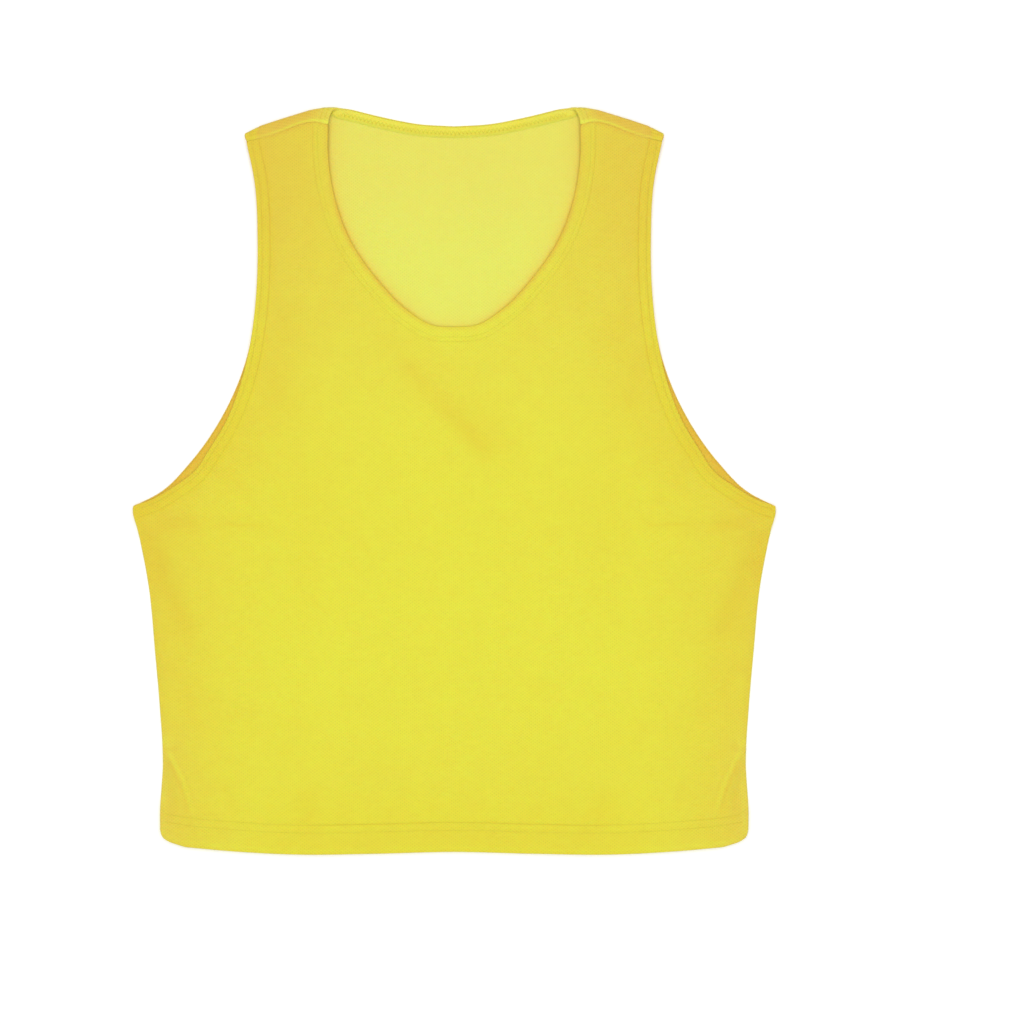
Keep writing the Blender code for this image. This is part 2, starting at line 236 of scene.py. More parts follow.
def wholeBottom(spacing):
    middle = smoothLine(bottomEdge, spacing, True)
    return np.vstack([mirrored(bottomCornerLine)[:-1], middle, bottomCornerLine[1:]])


bottomLine = wholeBottom(fine)
bottomMiddle = smoothLine(bottomEdge + [(216.0, 8.6)], fine, True)
sideLine = smoothLine(sideEdge, fine)
seamLine = smoothLine(shoulderSeamPlaces, seamStep)
frontArmholeLine = smoothLine(frontArmhole, cell)
frontNeckLine = smoothLine(frontNeck, cell, True)[::-1]
nearArmhole = smoothLine(frontArmhole, fine)
nearNeck = smoothLine(frontNeck, fine, True)

# The back turns over the shoulder folds, and its flat cloth goes on past them
foldRadius = 2.25
turnLength = math.pi * foldRadius
foldRowHeights = np.linspace(0, turnLength, 11)


def foldStart(across):
    fold = np.array(shoulderFold)[::-1]
    return np.interp(np.abs(across), fold[:, 0], fold[:, 1]) - foldRadius - bib["solidWall"] / 2


def wrappedEnd(across):
    seam = seamLine[::-1]
    return 2 * foldStart(across) - np.interp(across, seam[:, 0], seam[:, 1]) + turnLength


seamOuter, seamInner = shoulderSeamPlaces[0][0], shoulderSeamPlaces[-1][0]
armholeFold = shoulderFold[0][0]
backArmholeEnd = [(armholeFold, foldStart(armholeFold)), (seamOuter, wrappedEnd(seamOuter))]
backArmholeLine = smoothLine(backArmhole + backArmholeEnd, cell)
backNeckEnd = [
    (foldTopAtNeck, foldStart(foldTopAtNeck) + turnLength / 2),
    (seamInner - 1.5, wrappedEnd(seamInner) - 7.0),
    (seamInner, wrappedEnd(seamInner)),
]
backNeckHalf = smoothLine(backNeck + backNeckEnd, cell)
backNeckLine = np.vstack([mirrored(backNeckHalf)[:-1], backNeckHalf])[::-1]


# Folds and creases. Tone is how many levels of painted shade darken the line, as shade in a crease; less than
# 0 is a painted highlight along a ridge.
Fold = namedtuple("Fold", "across up toAcross toUp bend halfWidth rise tone halves")
both, right, left = (1, -1), (1,), (-1,)
frontFolds = [
    Fold(226, 228, 198, 169, 0, 13, -1.5, 5.5, both),
    Fold(198, 169, 176, 99, 0, 17, -1.1, 0.5, both),
    Fold(203, 215, 172, 120, 0, 15, 0.9, -1.5, both),
    Fold(213, 78, 198, 42, 0, 8, 1.3, -2.0, both),
    Fold(198, 42, 191, 30, 0, 7, 1.0, -1.0, both),
    Fold(211, 64, 207, 34, 0, 7, -1.2, 3.5, both),
    Fold(214, 243, 142, 243, 0, 9, -0.7, 2.0, both),
    Fold(86, 458, 66, 427, 0, 8, 0.8, -1.5, both),
    Fold(-44, 375, 37, 305, 0, 22, -1.0, 2.5, right),
    # Smaller ones that the solids don't have
    Fold(-32, 357, 24, 296, -2, 9, -0.4, 6.0, right),
    Fold(4, 328, 18, 306, -1, 10, -0.3, 3.0, right),
    # Broad painted shade and highlights of the chest and the lower sides
    Fold(122, 384, 156, 296, 0, 30, 0.0, 5.5, both),
    Fold(112, 320, 104, 190, 0, 34, 0.0, 2.5, both),
    Fold(213, 125, 212, 85, 0, 7, 0.0, -3.0, both),
    Fold(60, 60, 150, 95, 0, 26, 0.0, 1.5, both),
    Fold(214.0, 83, 190.5, 25, -2.2, 1.8, 0.7, -5.0, both),
    Fold(214.5, 86, 203.0, 56, -1.2, 2.0, 0.3, -2.5, both),
    Fold(213.0, 74, 196.0, 30, -2.2, 2.4, -0.8, 8.0, both),
    Fold(208.0, 76, 190.5, 36, -2.2, 1.5, -0.35, 3.0, both),
    Fold(201, 52, 190, 30, -2, 4.0, -0.3, 1.5, both),
    Fold(174, 243.4, 140, 242.6, 0.5, 1.8, -0.3, 5.0, both),
    Fold(218, 240, 186, 243, -1, 6, -0.4, 3.0, both),
    Fold(216, 77.5, 203, 79, 1, 3.0, -0.5, 5.0, both),
    Fold(216, 83, 205, 86, 1, 4.0, 0.3, -2.0, both),
    Fold(106, 191, 91, 176, 1.0, 2.2, -0.3, 2.5, both),
    Fold(110, 37, 108, 31, 0, 12, -0.5, 4.0, both),
    Fold(52, 388, 52, 384, 0, 9, -0.5, 3.0, right),
    Fold(22, 322, 38, 301, 1, 9, -0.4, 1.5, right),
    Fold(-46, 362, -12, 330, 2, 8, 0.35, -1.0, right),
    Fold(90, 215, 88, 60, 3, 15, 0.4, -1.3, both),
    Fold(-18, 265, 14, 190, 4, 22, 0.3, -1.0, right),
    Fold(63, 422, 48, 398, 2, 5, -0.35, 1.2, both),
    Fold(82, 448, 96, 405, -3, 7, -0.4, 1.5, both),
    Fold(97, 460, 106, 400, -3, 8, 0.35, -1.0, both),
    Fold(132, 470, 126, 392, 3, 7, -0.4, 1.5, both),
    Fold(146, 372, 128, 330, -3, 7, -0.4, 2.0, both),
    Fold(156, 340, 136, 296, -4, 8, 0.35, -1.0, both),
    Fold(176, 296, 152, 262, 3, 7, -0.35, 2.0, both),
    Fold(196, 268, 178, 214, -4, 8, 0.35, -1.0, right),
    Fold(198, 266, 176, 220, -5, 7, 0.3, -1.0, left),
    Fold(150, 205, 138, 140, 4, 10, -0.35, 1.2, right),
    Fold(156, 198, 146, 128, -5, 9, -0.3, 1.0, left),
    Fold(206, 148, 186, 104, 4, 6, -0.4, 2.0, right),
    Fold(208, 140, 190, 92, -4, 6, -0.35, 2.0, left),
    Fold(172, 62, 160, 30, 2, 5, -0.35, 2.0, both),
    Fold(150, 48, 142, 26, -1, 4, 0.3, -1.0, both),
    Fold(-122, 96, -60, 108, 4, 10, -0.3, 1.0, right),
    Fold(40, 132, 104, 118, -4, 11, -0.3, 1.0, right),
    Fold(-70, 300, -118, 262, 4, 10, -0.3, 1.0, right),
    Fold(66, 308, 126, 280, -4, 9, 0.3, -0.8, right),
    Fold(8, 60, 30, 34, 1, 7, 0.25, -0.8, right),
    Fold(-34, 50, -52, 28, 1, 6, -0.25, 1.0, right),
]
# The back lies on the ground; its creases lift it a little
backFolds = [
    Fold(224, 224, 196, 170, 3, 8, 0.7, 2.0, both),
    Fold(196, 150, 176, 96, -3, 9, 0.5, 1.5, right),
    Fold(200, 144, 170, 104, 4, 7, 0.6, 1.5, left),
    Fold(206, 92, 192, 46, 2, 5, 0.7, 2.0, both),
    Fold(176, 250, 120, 238, 3, 5, 0.4, 1.5, both),
    Fold(-60, 350, 24, 300, -6, 10, 0.5, 1.0, right),
    Fold(30, 262, 92, 214, 5, 9, 0.4, 1.0, right),
    Fold(-104, 196, -56, 122, -5, 8, 0.4, 1.0, right),
    Fold(-20, 112, 44, 76, 4, 9, 0.35, 1.0, right),
    Fold(96, 468, 118, 400, 3, 8, 0.4, 1.2, both),
    Fold(120, 352, 96, 300, -3, 7, 0.35, 1.0, both),
    Fold(-28, 470, 10, 424, 3, 12, 0.3, 0.5, right),
    Fold(44, 500, 60, 456, -2, 9, 0.25, 0.6, right),
    Fold(-58, 508, -70, 462, 2, 8, 0.25, 0.6, right),
]


def foldLines(folds):
    for fold in folds:
        for half in fold.halves:
            start = np.array((half * fold.across, fold.up), float)
            end = np.array((half * fold.toAcross, fold.toUp), float)
            run = end - start
            beside = np.array((-run[1], run[0])) / np.linalg.norm(run) * half
            share = np.linspace(0, 1, 2 if fold.bend == 0 else 9)[:, None]
            yield fold, start + share * run + 4 * share * (1 - share) * fold.bend * beside, run


foldReach = 2.2  # half-widths from its middle, where a fold ends
fineFold = 6.5  # half-width, under which a fold also fades toward its ends
leastEnd = 0.02


def foldRelief(points, folds):
    ridge, trough, tone = np.zeros(len(points)), np.zeros(len(points)), np.zeros(len(points))
    for fold, line, run in foldLines(folds):
        reach = foldReach * fold.halfWidth
        low, high = line.min(axis=0) - reach, line.max(axis=0) + reach
        near = np.flatnonzero(((points > low) & (points < high)).all(axis=1))
        if not len(near):
            continue
        shape = bell(distanceTo(line, points[near]), fold.halfWidth)
        if fold.halfWidth < fineFold:
            share = np.clip(((points[near] - line[0]) @ run) / (run @ run), 0, 1)
            shape *= np.sqrt(np.clip(4 * share * (1 - share), leastEnd, 1))
        ridge[near] = np.maximum(ridge[near], fold.rise * shape)
        trough[near] = np.minimum(trough[near], fold.rise * shape)
        tone[near] += fold.tone * shape
    return ridge + trough, tone


def stitchedEdge(distance, edge):
    # How deep the rows of stitching draw the cloth in, from 0 to 1, the levels of painted shade in their
    # grooves, and how full the cloth is beside the inner row
    hem = hemRows[edge]
    drawn, shadeLevels = np.zeros(len(distance)), np.zeros(len(distance))
    for row, share, tone in zip(hem.rows, hem.drawn, hem.tones):
        near = np.clip(1 - np.abs(distance - row) / grooveHalf, 0, 1)
        drawn = np.maximum(drawn, share * near)
        shadeLevels += tone * near
    full = bell(distance - (hem.rows[1] - frontShape["fullInside"]), frontShape["fullHalf"])
    return drawn, shadeLevels, full


# Each panel's middle surface, in millimetres, and its tone, mostly painted shade
frontShape = {
    "loft": 2.2,  # over the lowest place the front can have
    "overHems": 2.8,
    "overNeckHem": 1.35,
    "atShoulder": 3.2,
    "sideRoll": 9.0,
    "easeByHem": (1.0, 14.0),  # past a hem, over which the loft changes
    "easeByNeck": (0.0, 34.0),
    "foldFade": (-6.0, 16.0),  # past a hem, over which the folds begin
    "shoulderRise": (485.0, 526.0),  # up
    "sideAboveHem": (29.0, 47.0),
    "sideBelowArmhole": (225.0, 243.0),
    "grooveDepth": 0.5,
    "fullness": 0.12,  # how far the cloth stands up between two rows of stitching
    "fullInside": 2.6,  # its middle, from the inner row
    "fullHalf": 1.7,
    "pucker": (0.12, 7.0, 21.0),
    "puckerHalf": 9.0,
    "waves": (0.22, 34.0, 3.0),
    "waveFade": (-4.0, 20.0),
}
backShape = {
    "foldFade": (0.0, 14.0),
    "foldEnd": (-40.0, -10.0),  # past the start of the shoulder fold, over which the creases end
    "wrapFrom": (-4.0, 4.0),  # over which the tone of the turned part begins
}
# Levels of painted shade by which parts of the front are darker and warmer than its middle, most with their
# reach:
# sides, straps and edges as if turning from the light, the neck edge's painted shadow, seams and rows of
# stitching;
# less than 0 is a painted highlight, as on lit rims and raised cloth. Mottle is a random tone.
# From, To and Fade are where that begins, ends or gets fainter: up, across or from an edge.
frontShadeAndMottle = {
    "side": 12.0,
    "sideReach": 56.0,
    "sideReachLess": 10.0,  # in the lower part
    "sideReachFrom": (120.0, 190.0),
    "strap": 20.0,
    "strapFrom": (300.0, 520.0),
    "armhole": (5.5, 24.0),
    "neck": (-9.0, 12.0),
    "neckEdgeShadow": 24.0,
    "neckEdgeShadowReach": 2.2,
    "rim": -4.5,  # the lit rim of each edge
    "rimsFrom": (1.6, 3.4, 3.2),  # the armhole, the bottom and the side
    "rimHalf": 1.6,
    "sideEdge": (5.5, 6.0),
    "sideEdgeTo": (212.0, 232.0),
    "aboveCorner": (42.0, 66.0),  # over which the side's rim gives way to that
    "chest": 1.6,
    "chestFrom": (185.0, 225.0),
    "chestTo": (350.0, 390.0),
    "flank": 1.4,
    "flankFrom": (90.0, 115.0),
    "flankTo": (200.0, 230.0),
    "flankIn": 48.0,  # from the side
    "flankHalf": 26.0,
    "seam": (12.0, 1.4),  # along the shoulder seam
    "corner": (4.0, 14.0),
    "cornerTo": (25.0, 60.0),
    "bottom": (6.8, 40.0),
    "bottomFrom": 20.0,
    "bottomAside": 0.5,  # the share of that toward the sides
    "bottomFade": (90.0, 165.0),  # over which the bottom's rows and tone get fainter
    "hemBand": 2.0,
    "hemBandTo": (19.0, 23.0),
    "hemBandFade": (120.0, 190.0),
    "lowArmhole": (300.0, 400.0),  # over which the armhole's edge gets lighter
    "lowEdge": (9.0, 2.5),
    "lowBand": (2.5, 20.0),
    "faintBottom": 0.15,  # how clear the rows are where they are faintest
    "faintArmhole": 0.3,
    "faintNeck": 0.35,
    "clearNeck": (440.0, 490.0),
    "fullness": -3.5,
    "mottle": (2.4, 11.0, 8.0),
}
# Levels of painted shade on the back: beside the front's armhole and neck edges, on the strip turned over the
# shoulders and at the shoulder seam; less than 0 is a painted highlight, as just above that seam. Mottle is a
# random tone.
backShadeAndMottle = {
    "armhole": (37.0, 12.0),
    "shadowUnderNeck": (26.0, 2.6),  # painted shadow beside the front's neck edge
    "shadeInsideNeck": (8.0, 8.0),  # and painted shade there more widely
    "wrapByArmhole": 32.0,
    "wrapByNeck": 12.0,
    "wrapAcross": (92.0, 110.0),
    "wrapHem": -9.0,  # between the rows at the armhole, where the strap turns over
    "wrapHemTo": (7.0, 9.5),
    "seam": (5.0, 1.0),
    "aboveSeam": (-26.0, 1.2),
    "aboveSeamFrom": 1.7,
    "aboveSeamOuter": 0.4,  # the share of that toward the armhole
    "neckTop": 9.0,
    "neckTopFrom": (420.0, 520.0),
    "mottle": (2.0, 13.0, 5.0),
}
# How dark the painted shadow along the neck's edge is: places up, and the share there
neckShadowShare = (388.0, 402.0, 465.0, 500.0), (0.5, 1.0, 1.0, 0.5)
# Levels of painted shade that are added where an edge turns over
turnShade = {"bottom": 0.0, "side": 0.0, "armhole": 4.0, "shoulder": 8.0, "neck": 10.0, "backNeck": 6.0}
toneRange = 30.0  # levels from the brightest to the warmest colour, the colour of full painted shade
# How much paler the cloth is than that: more white in its yellow. Partly painted shade: less pale in folds
# and in the painted shadow along the neck
palenessAndShade = {
    "chest": 0.009,
    "chestFrom": (230.0, 420.0),
    "hem": -0.006,
    "hemTo": (20.0, 60.0),
    "hemFade": (110.0, 170.0),
    "fold": -0.0007,  # for each level of a fold's tone
    "rim": (0.004, 9.0),
    "rimTo": (180.0, 220.0),
    "rimOffMiddle": 40.0,
    "lowCorner": (0.016, 14.0),
    "cornerTo": (60.0, 120.0),
    "neckShadow": -0.02,
    "neckShadowReach": 1.2,
    "armholeBand": -0.009,
    "bandTo": (9.0, 13.0),
    "wrap": 0.028,
    "wrapByArmhole": -0.012,
    "wrapHem": -0.016,
}


def aboveBottom(points):
    return points[:, 1] - np.interp(points[:, 0], bottomLine[:, 0], bottomLine[:, 1])


def frontSurface(points):
    half, up = onRightHalf(points), points[:, 1]
    fromBottom = aboveBottom(points)
    fromArmhole = distanceTo(nearArmhole, half)
    fromNeck = distanceTo(nearNeck, points)
    fromSide = distanceTo(sideLine, half)
    pastHems = np.minimum(fromBottom - hemRows["bottom"].firm, fromArmhole - hemRows["armhole"].firm)
    pastNeck = fromNeck - hemRows["frontNeck"].firm
    pastAll = np.minimum(pastHems, pastNeck)
    s = frontShape
    loft = between(s["overHems"], s["loft"], after(s["easeByHem"], pastHems))
    loft = between(s["overNeckHem"], loft, after(s["easeByNeck"], pastNeck))
    loft = between(loft, s["atShoulder"], after(s["shoulderRise"], up))
    offHemEnds = after(s["sideAboveHem"], up) - after(s["sideBelowArmhole"], up)
    loft *= 1 - offHemEnds * fading(fromSide, s["sideRoll"])
    relief, tone = foldRelief(points, frontFolds)
    loft += relief * after(s["foldFade"], pastAll)
    loft += uneven(s["waves"], points) * after(s["waveFade"], pastAll)
    height = lowest + np.maximum(loft, 0)

    # Painted shade in levels: sides, straps, edges, neck, seams and creases darker; less than 0 is a painted
    # highlight
    t = frontShadeAndMottle
    aboveCorner = after(t["aboveCorner"], up)
    lowArmhole = until(t["lowArmhole"], up)
    towardMiddle = until(t["bottomFade"], half[:, 0])
    sideReach = t["sideReach"] - t["sideReachLess"] * until(t["sideReachFrom"], up)
    shadeLevels = t["side"] * np.exp(-((fromSide / sideReach) ** 2))
    shadeLevels += t["strap"] * after(t["strapFrom"], up)
    shadeLevels += faded(t["armhole"], fromArmhole)
    shadeLevels += faded(t["neck"], fromNeck)
    neckShadow = np.interp(up, *neckShadowShare)
    shadeLevels += t["neckEdgeShadow"] * np.exp(-((fromNeck / t["neckEdgeShadowReach"]) ** 2)) * neckShadow
    rimShares = (1.0, 1.0, 1 - aboveCorner)
    for distance, rim, share in zip((fromArmhole, fromBottom, fromSide), t["rimsFrom"], rimShares):
        shadeLevels += t["rim"] * bell(distance - rim, t["rimHalf"]) * share
    sideEdge = aboveCorner - after(t["sideEdgeTo"], up)
    shadeLevels += faded(t["sideEdge"], fromSide) * sideEdge
    shadeLevels += t["chest"] * (after(t["chestFrom"], up) - after(t["chestTo"], up))
    flank = after(t["flankFrom"], up) - after(t["flankTo"], up)
    shadeLevels += t["flank"] * bell(fromSide - t["flankIn"], t["flankHalf"]) * flank
    shadeLevels += belled(t["seam"], distanceTo(seamLine, half)) * seamShare(half[:, 0])
    shadeLevels += faded(t["corner"], fromSide) * until(t["cornerTo"], up)
    overHem = np.maximum(fromBottom - t["bottomFrom"], 0)
    shadeLevels += faded(t["bottom"], overHem) * between(t["bottomAside"], 1, towardMiddle)
    shadeLevels += t["hemBand"] * until(t["hemBandTo"], fromBottom) * until(t["hemBandFade"], half[:, 0])
    lowEdge = faded(t["lowEdge"], fromArmhole)
    shadeLevels += lowArmhole * (lowEdge + faded(t["lowBand"], fromArmhole))
    shadeLevels += tone + uneven(t["mottle"], points)

    p = palenessAndShade
    inMiddle = until(p["hemFade"], half[:, 0])
    nearRim = np.minimum(fromSide, fromBottom + p["rimOffMiddle"] * inMiddle)
    pale = p["chest"] * after(p["chestFrom"], up) + p["fold"] * np.maximum(tone, 0)
    pale += p["hem"] * until(p["hemTo"], fromBottom) * inMiddle
    pale += faded(p["rim"], nearRim) * until(p["rimTo"], up)
    pale += p["armholeBand"] * until(p["bandTo"], fromArmhole)
    pale += faded(p["lowCorner"], fromSide) * until(p["cornerTo"], up)

    clearness = {
        "bottom": between(t["faintBottom"], 1, towardMiddle),
        "armhole": between(1, t["faintArmhole"], lowArmhole),
        "frontNeck": between(t["faintNeck"], 1, after(t["clearNeck"], up)),
    }
    pucker = uneven(s["pucker"], points)
    for distance, edge in ((fromBottom, "bottom"), (fromArmhole, "armhole"), (fromNeck, "frontNeck")):
        drawn, rowShade, full = (amount * clearness[edge] for amount in stitchedEdge(distance, edge))
        height += s["fullness"] * full - s["grooveDepth"] * drawn
        height += pucker * bell(distance - hemRows[edge].rows[1], s["puckerHalf"])
        shadeLevels += rowShade + t["fullness"] * full
    return np.column_stack([points, height - restDrop]), np.column_stack([shadeLevels / toneRange, pale])


def seamShare(across):
    # How much of the shoulder seam's groove there is, less toward the armhole
    return 1 - bib["seamFadeBy"] * after(bib["seamFade"], np.abs(across))


def wrapped(points, height):
    # The back's cloth, flat on the ground and turned over the shoulder folds; height is above the cloth
    start = foldStart(points[:, 0])
    past = np.maximum(points[:, 1] - start, 0)
    turn = np.minimum(past / foldRadius, math.pi)
    straight = np.maximum(past - turnLength, 0)
    radius = foldRadius - height
    up = np.minimum(points[:, 1], start) + radius * np.sin(turn) - straight
    middle = bib["solidWall"] / 2 + foldRadius
    return np.column_stack([points[:, 0], up, middle - radius * np.cos(turn) - restDrop])


nearBackArmhole, nearBackNeck = backArmholeLine[::2], backNeckLine[::2]


def backSurface(points):
    half = onRightHalf(points)
    fromArmhole = distanceTo(nearBackArmhole, half)
    fromEdge = {
        "bottom": aboveBottom(points),
        "armhole": fromArmhole,
        "backNeck": distanceTo(nearBackNeck, points),
    }
    fromFront = distanceTo(nearNeck, points)
    relief, tone = foldRelief(points, backFolds)
    past = points[:, 1] - foldStart(points[:, 0])
    pastHems = np.minimum.reduce([distance - hemRows[edge].firm for edge, distance in fromEdge.items()])
    s = backShape
    height = relief * after(s["foldFade"], pastHems) * until(s["foldEnd"], past)
    wrap = after(s["wrapFrom"], past)
    onGround = 1 - wrap

    # Painted shade in levels beside the front's edges, over the shoulder strip and at the seam
    t = backShadeAndMottle
    byArmhole = after(t["wrapAcross"], half[:, 0])
    onHem = until(t["wrapHemTo"], fromArmhole) * wrap
    neckShadow = np.interp(points[:, 1], *neckShadowShare)
    toSeam = wrappedEnd(half[:, 0]) - points[:, 1]
    bySeam = seamShare(half[:, 0])
    shadeLevels = tone + uneven(t["mottle"], points)
    shadeLevels += between(t["wrapByNeck"], t["wrapByArmhole"], byArmhole) * wrap
    shadeLevels += t["wrapHem"] * onHem
    shadeLevels += faded(t["armhole"], fromArmhole) * onGround
    shadeLevels += faded(t["shadowUnderNeck"], fromFront) * onGround * neckShadow
    shadeLevels += faded(t["shadeInsideNeck"], fromFront) * onGround
    shadeLevels += belled(t["seam"], toSeam) * bySeam
    aboveSeam = belled(t["aboveSeam"], toSeam - t["aboveSeamFrom"])
    shadeLevels += aboveSeam * between(t["aboveSeamOuter"], 1, bySeam)
    shadeLevels += t["neckTop"] * after(t["neckTopFrom"], points[:, 1]) * onGround
    for edge, distance in fromEdge.items():
        drawn, rowShade, _ = stitchedEdge(distance, edge)
        height = height + frontShape["grooveDepth"] * np.sqrt(drawn)
        shadeLevels += rowShade
    p = palenessAndShade
    pale = (p["wrap"] + p["wrapByArmhole"] * byArmhole) * wrap + p["wrapHem"] * onHem
    pale += p["neckShadow"] * np.exp(-((fromFront / p["neckShadowReach"]) ** 2)) * onGround * neckShadow
    return wrapped(points, height), np.column_stack([shadeLevels / toneRange, pale])


def outwardRing(parts, insetBy):
    # The outline moved in, part by part, with the directions out of it
    ring = np.vstack([line[:-1] for _, line in parts])
    toNext = unit(np.roll(ring, -1, axis=0) - ring)
    fromLast = np.roll(toNext, 1, axis=0)
    nextOut = np.column_stack([toNext[:, 1], -toNext[:, 0]])
    lastOut = np.column_stack([fromLast[:, 1], -fromLast[:, 0]])
    spread = 1 + np.einsum("ij,ij->i", nextOut, lastOut)
    mitre = (nextOut + lastOut) / np.maximum(spread, bib["mitreLimit"])[:, None]
    names = np.concatenate([[name] * (len(line) - 1) for name, line in parts])
    seamInset = bib["seamInset"] * between(bib["outerInset"], 1, seamShare(ring[:, 0]))
    amount = np.where(names == "shoulder", seamInset, insetBy)
    return ring - amount[:, None] * mitre, names


def ringDirections(ring):
    along = unit(np.roll(ring, -1, axis=0) - np.roll(ring, 1, axis=0))
    return np.column_stack([along[:, 1], -along[:, 0]]), along


def frames(surfaceOf, points, out, along):
    # Place, direction out, direction along and normal of the surface at each point
    e = 0.05
    place = surfaceOf(points)[0]
    outward = unit(surfaceOf(points + e * out)[0] - surfaceOf(points - e * out)[0])
    onward = unit(surfaceOf(points + e * along)[0] - surfaceOf(points - e * along)[0])
    return place, outward, onward, unit(np.cross(outward, onward))


def trimmed(line, ring, clear):
    closed = np.vstack([ring, ring[:1]])
    inside = isInside(ring, line) & (distanceTo(closed, line) > clear)
    spots = np.flatnonzero(inside)
    return line[spots[0] : spots[-1] + 1]


# How close the points of the flat cloth lie
net = {
    "clearShare": 0.62,  # of a cell, left free beside a line
    "denserBeyond": 2.0,  # the turn over a shoulder fold
    "turnAcross": (84.0, 156.0, 1.6),  # from, to and step of the points in that turn
    "turnGap": 0.6,
    "seamAcross": (93.0, 154.0, 1.5),
    "seamRows": (1.7, 3.0),  # from a shoulder seam
    "sharp": 3.5,  # half-width, under which a crease has closer points
    "creaseStep": 1.2,
    "creaseRows": (-1.3, -0.65, 0, 0.65, 1.3),  # half-widths beside its middle
    "creaseGap": 0.8,
    "creaseApart": 0.75,
    "recent": 400,  # points that a new one is compared with
    "linesIn": 0.8,  # from the edge, where the lines of the hems end
}


def innerPoints(ring, lines):
    low, high = ring.min(axis=0), ring.max(axis=0)
    rows = []
    for count, up in enumerate(np.arange(low[1], high[1], cell * math.sqrt(0.75))):
        first = (count % 2) * cell / 2
        across = np.arange(first - cell * math.ceil(high[0] / cell), high[0], cell)
        rows.append(np.column_stack([across, np.full(len(across), up)]))
    points = np.vstack(rows)
    points = points[isInside(ring, points)]
    taken = np.vstack([ring, *lines])
    tree = KDTree(len(taken))
    for i, (x, y) in enumerate(taken):
        tree.insert((x, y, 0), i)
    tree.balance()
    clear = [tree.find((x, y, 0))[2] > net["clearShare"] * cell for x, y in points]
    return points[np.array(clear)]


def clearPoints(points, ring, lines, gap):
    # The points inside the ring that are clear of it and of the lines
    points = points[isInside(ring, points)]
    taken = np.vstack([ring, *lines])
    return points[[np.hypot(*(taken - point).T).min() > gap for point in points]]


def bothSides(rows):
    points = np.vstack(rows)
    return np.vstack([points, points * (-1, 1)])


def inTurn(points, beyond):
    past = points[:, 1] - foldStart(points[:, 0])
    return (past > -beyond) & (past < turnLength + beyond)


def denser(line):
    # Three times as many points where the line goes over a shoulder fold
    made = []
    for start, end in zip(line, line[1:]):
        count = 3 if inTurn((start + end)[None] / 2, net["denserBeyond"])[0] else 1
        made += [start + (end - start) * k / count for k in range(count)]
    return np.array(made + [line[-1]])


def turnPoints(ring, lines):
    across = np.arange(*net["turnAcross"])
    rows = [np.column_stack([across, foldStart(across) + row]) for row in foldRowHeights]
    return clearPoints(bothSides(rows), ring, lines, net["turnGap"])


def creasePoints(ring, lines):
    # Closer points along the front's sharpest creases
    rows = []
    for fold, line, _ in foldLines([fold for fold in frontFolds if fold.halfWidth < net["sharp"]]):
        dense = evenlySpaced(line, net["creaseStep"])
        rows += [movedLeft(dense, shift * fold.halfWidth) for shift in net["creaseRows"]]
    kept = []
    for point in clearPoints(np.vstack(rows), ring, lines, net["creaseGap"]):
        if all(math.dist(point, other) > net["creaseApart"] for other in kept[-net["recent"] :]):
            kept.append(point)
    return np.array(kept)


def seamPoints(ring, lines):
    # Closer points for the lit rim of the back's cloth at the shoulder seams
    across = np.arange(*net["seamAcross"])
    rows = [np.column_stack([across, wrappedEnd(across) - shift]) for shift in net["seamRows"]]
    return clearPoints(bothSides(rows), ring, lines, net["turnGap"])


def cutCloth(ring, lines, overFold):
    # The flat cloth as points and triangles, with where the ring's points are among them
    closer = seamPoints(ring, lines) if overFold else creasePoints(ring, lines)
    inner = np.vstack([closer, innerPoints(ring, [*lines, closer])])
    if overFold:
        inner = np.vstack([inner[~inTurn(inner, net["turnGap"])], turnPoints(ring, lines)])
    points, links = list(ring), []
    for line in lines:
        first = len(points)
        points += list(line)
        links += [(first + i, first + i + 1) for i in range(len(line) - 1)]
    points += list(inner)
    cut = delaunay_2d_cdt([Vector(p) for p in points], links, [list(range(len(ring)))], 1, 1e-4)
    places, triangles = np.array([tuple(p) for p in cut[0]]), np.array(cut[2])
    origin = np.full(len(points), -1)
    for new, olds in enumerate(cut[3]):
        for old in olds:
            origin[old] = new
    corner, second, third = (places[triangles[:, k]] for k in range(3))
    a, b = second - corner, third - corner
    facing = a[:, 0] * b[:, 1] - a[:, 1] * b[:, 0]
    triangles[facing < 0] = triangles[facing < 0][:, ::-1]
    triangles = triangles[np.abs(facing) > 1e-6]
    return places, triangles, origin[: len(ring)]


def normalsOf(surface, triangles):
    corner, second, third = (surface[triangles[:, k]] for k in range(3))
    facing = np.cross(second - corner, third - corner)
    normals = np.zeros_like(surface)
    for k in range(3):
        np.add.at(normals, triangles[:, k], facing)
    return unit(normals)


def addObject(name, data):
    made = bpy.data.objects.new(name, data)
    bpy.context.scene.collection.objects.link(made)
    return made


def addMesh(name, places, faces, patternName, pattern, values, materials):
    # A smooth mesh with its pattern and its values at each point; places are in the flat cloth's millimetres
    mesh = bpy.data.meshes.new(name)
    mesh.from_pydata(((places - (0, bib["length"] / 2, 0)) / metre).tolist(), [], faces)
    corners = np.empty(len(mesh.loops), np.int32)
    mesh.loops.foreach_get("vertex_index", corners)
    mesh.uv_layers.new(name=patternName).data.foreach_set("uv", pattern[corners].ravel())
    for label, value in values.items():
        mesh.attributes.new(label, "FLOAT", "POINT").data.foreach_set("value", value.astype(np.float32))
    for material in materials:
        mesh.materials.append(material)
    mesh.shade_smooth()
    mesh.update()
    return addObject(name, mesh)


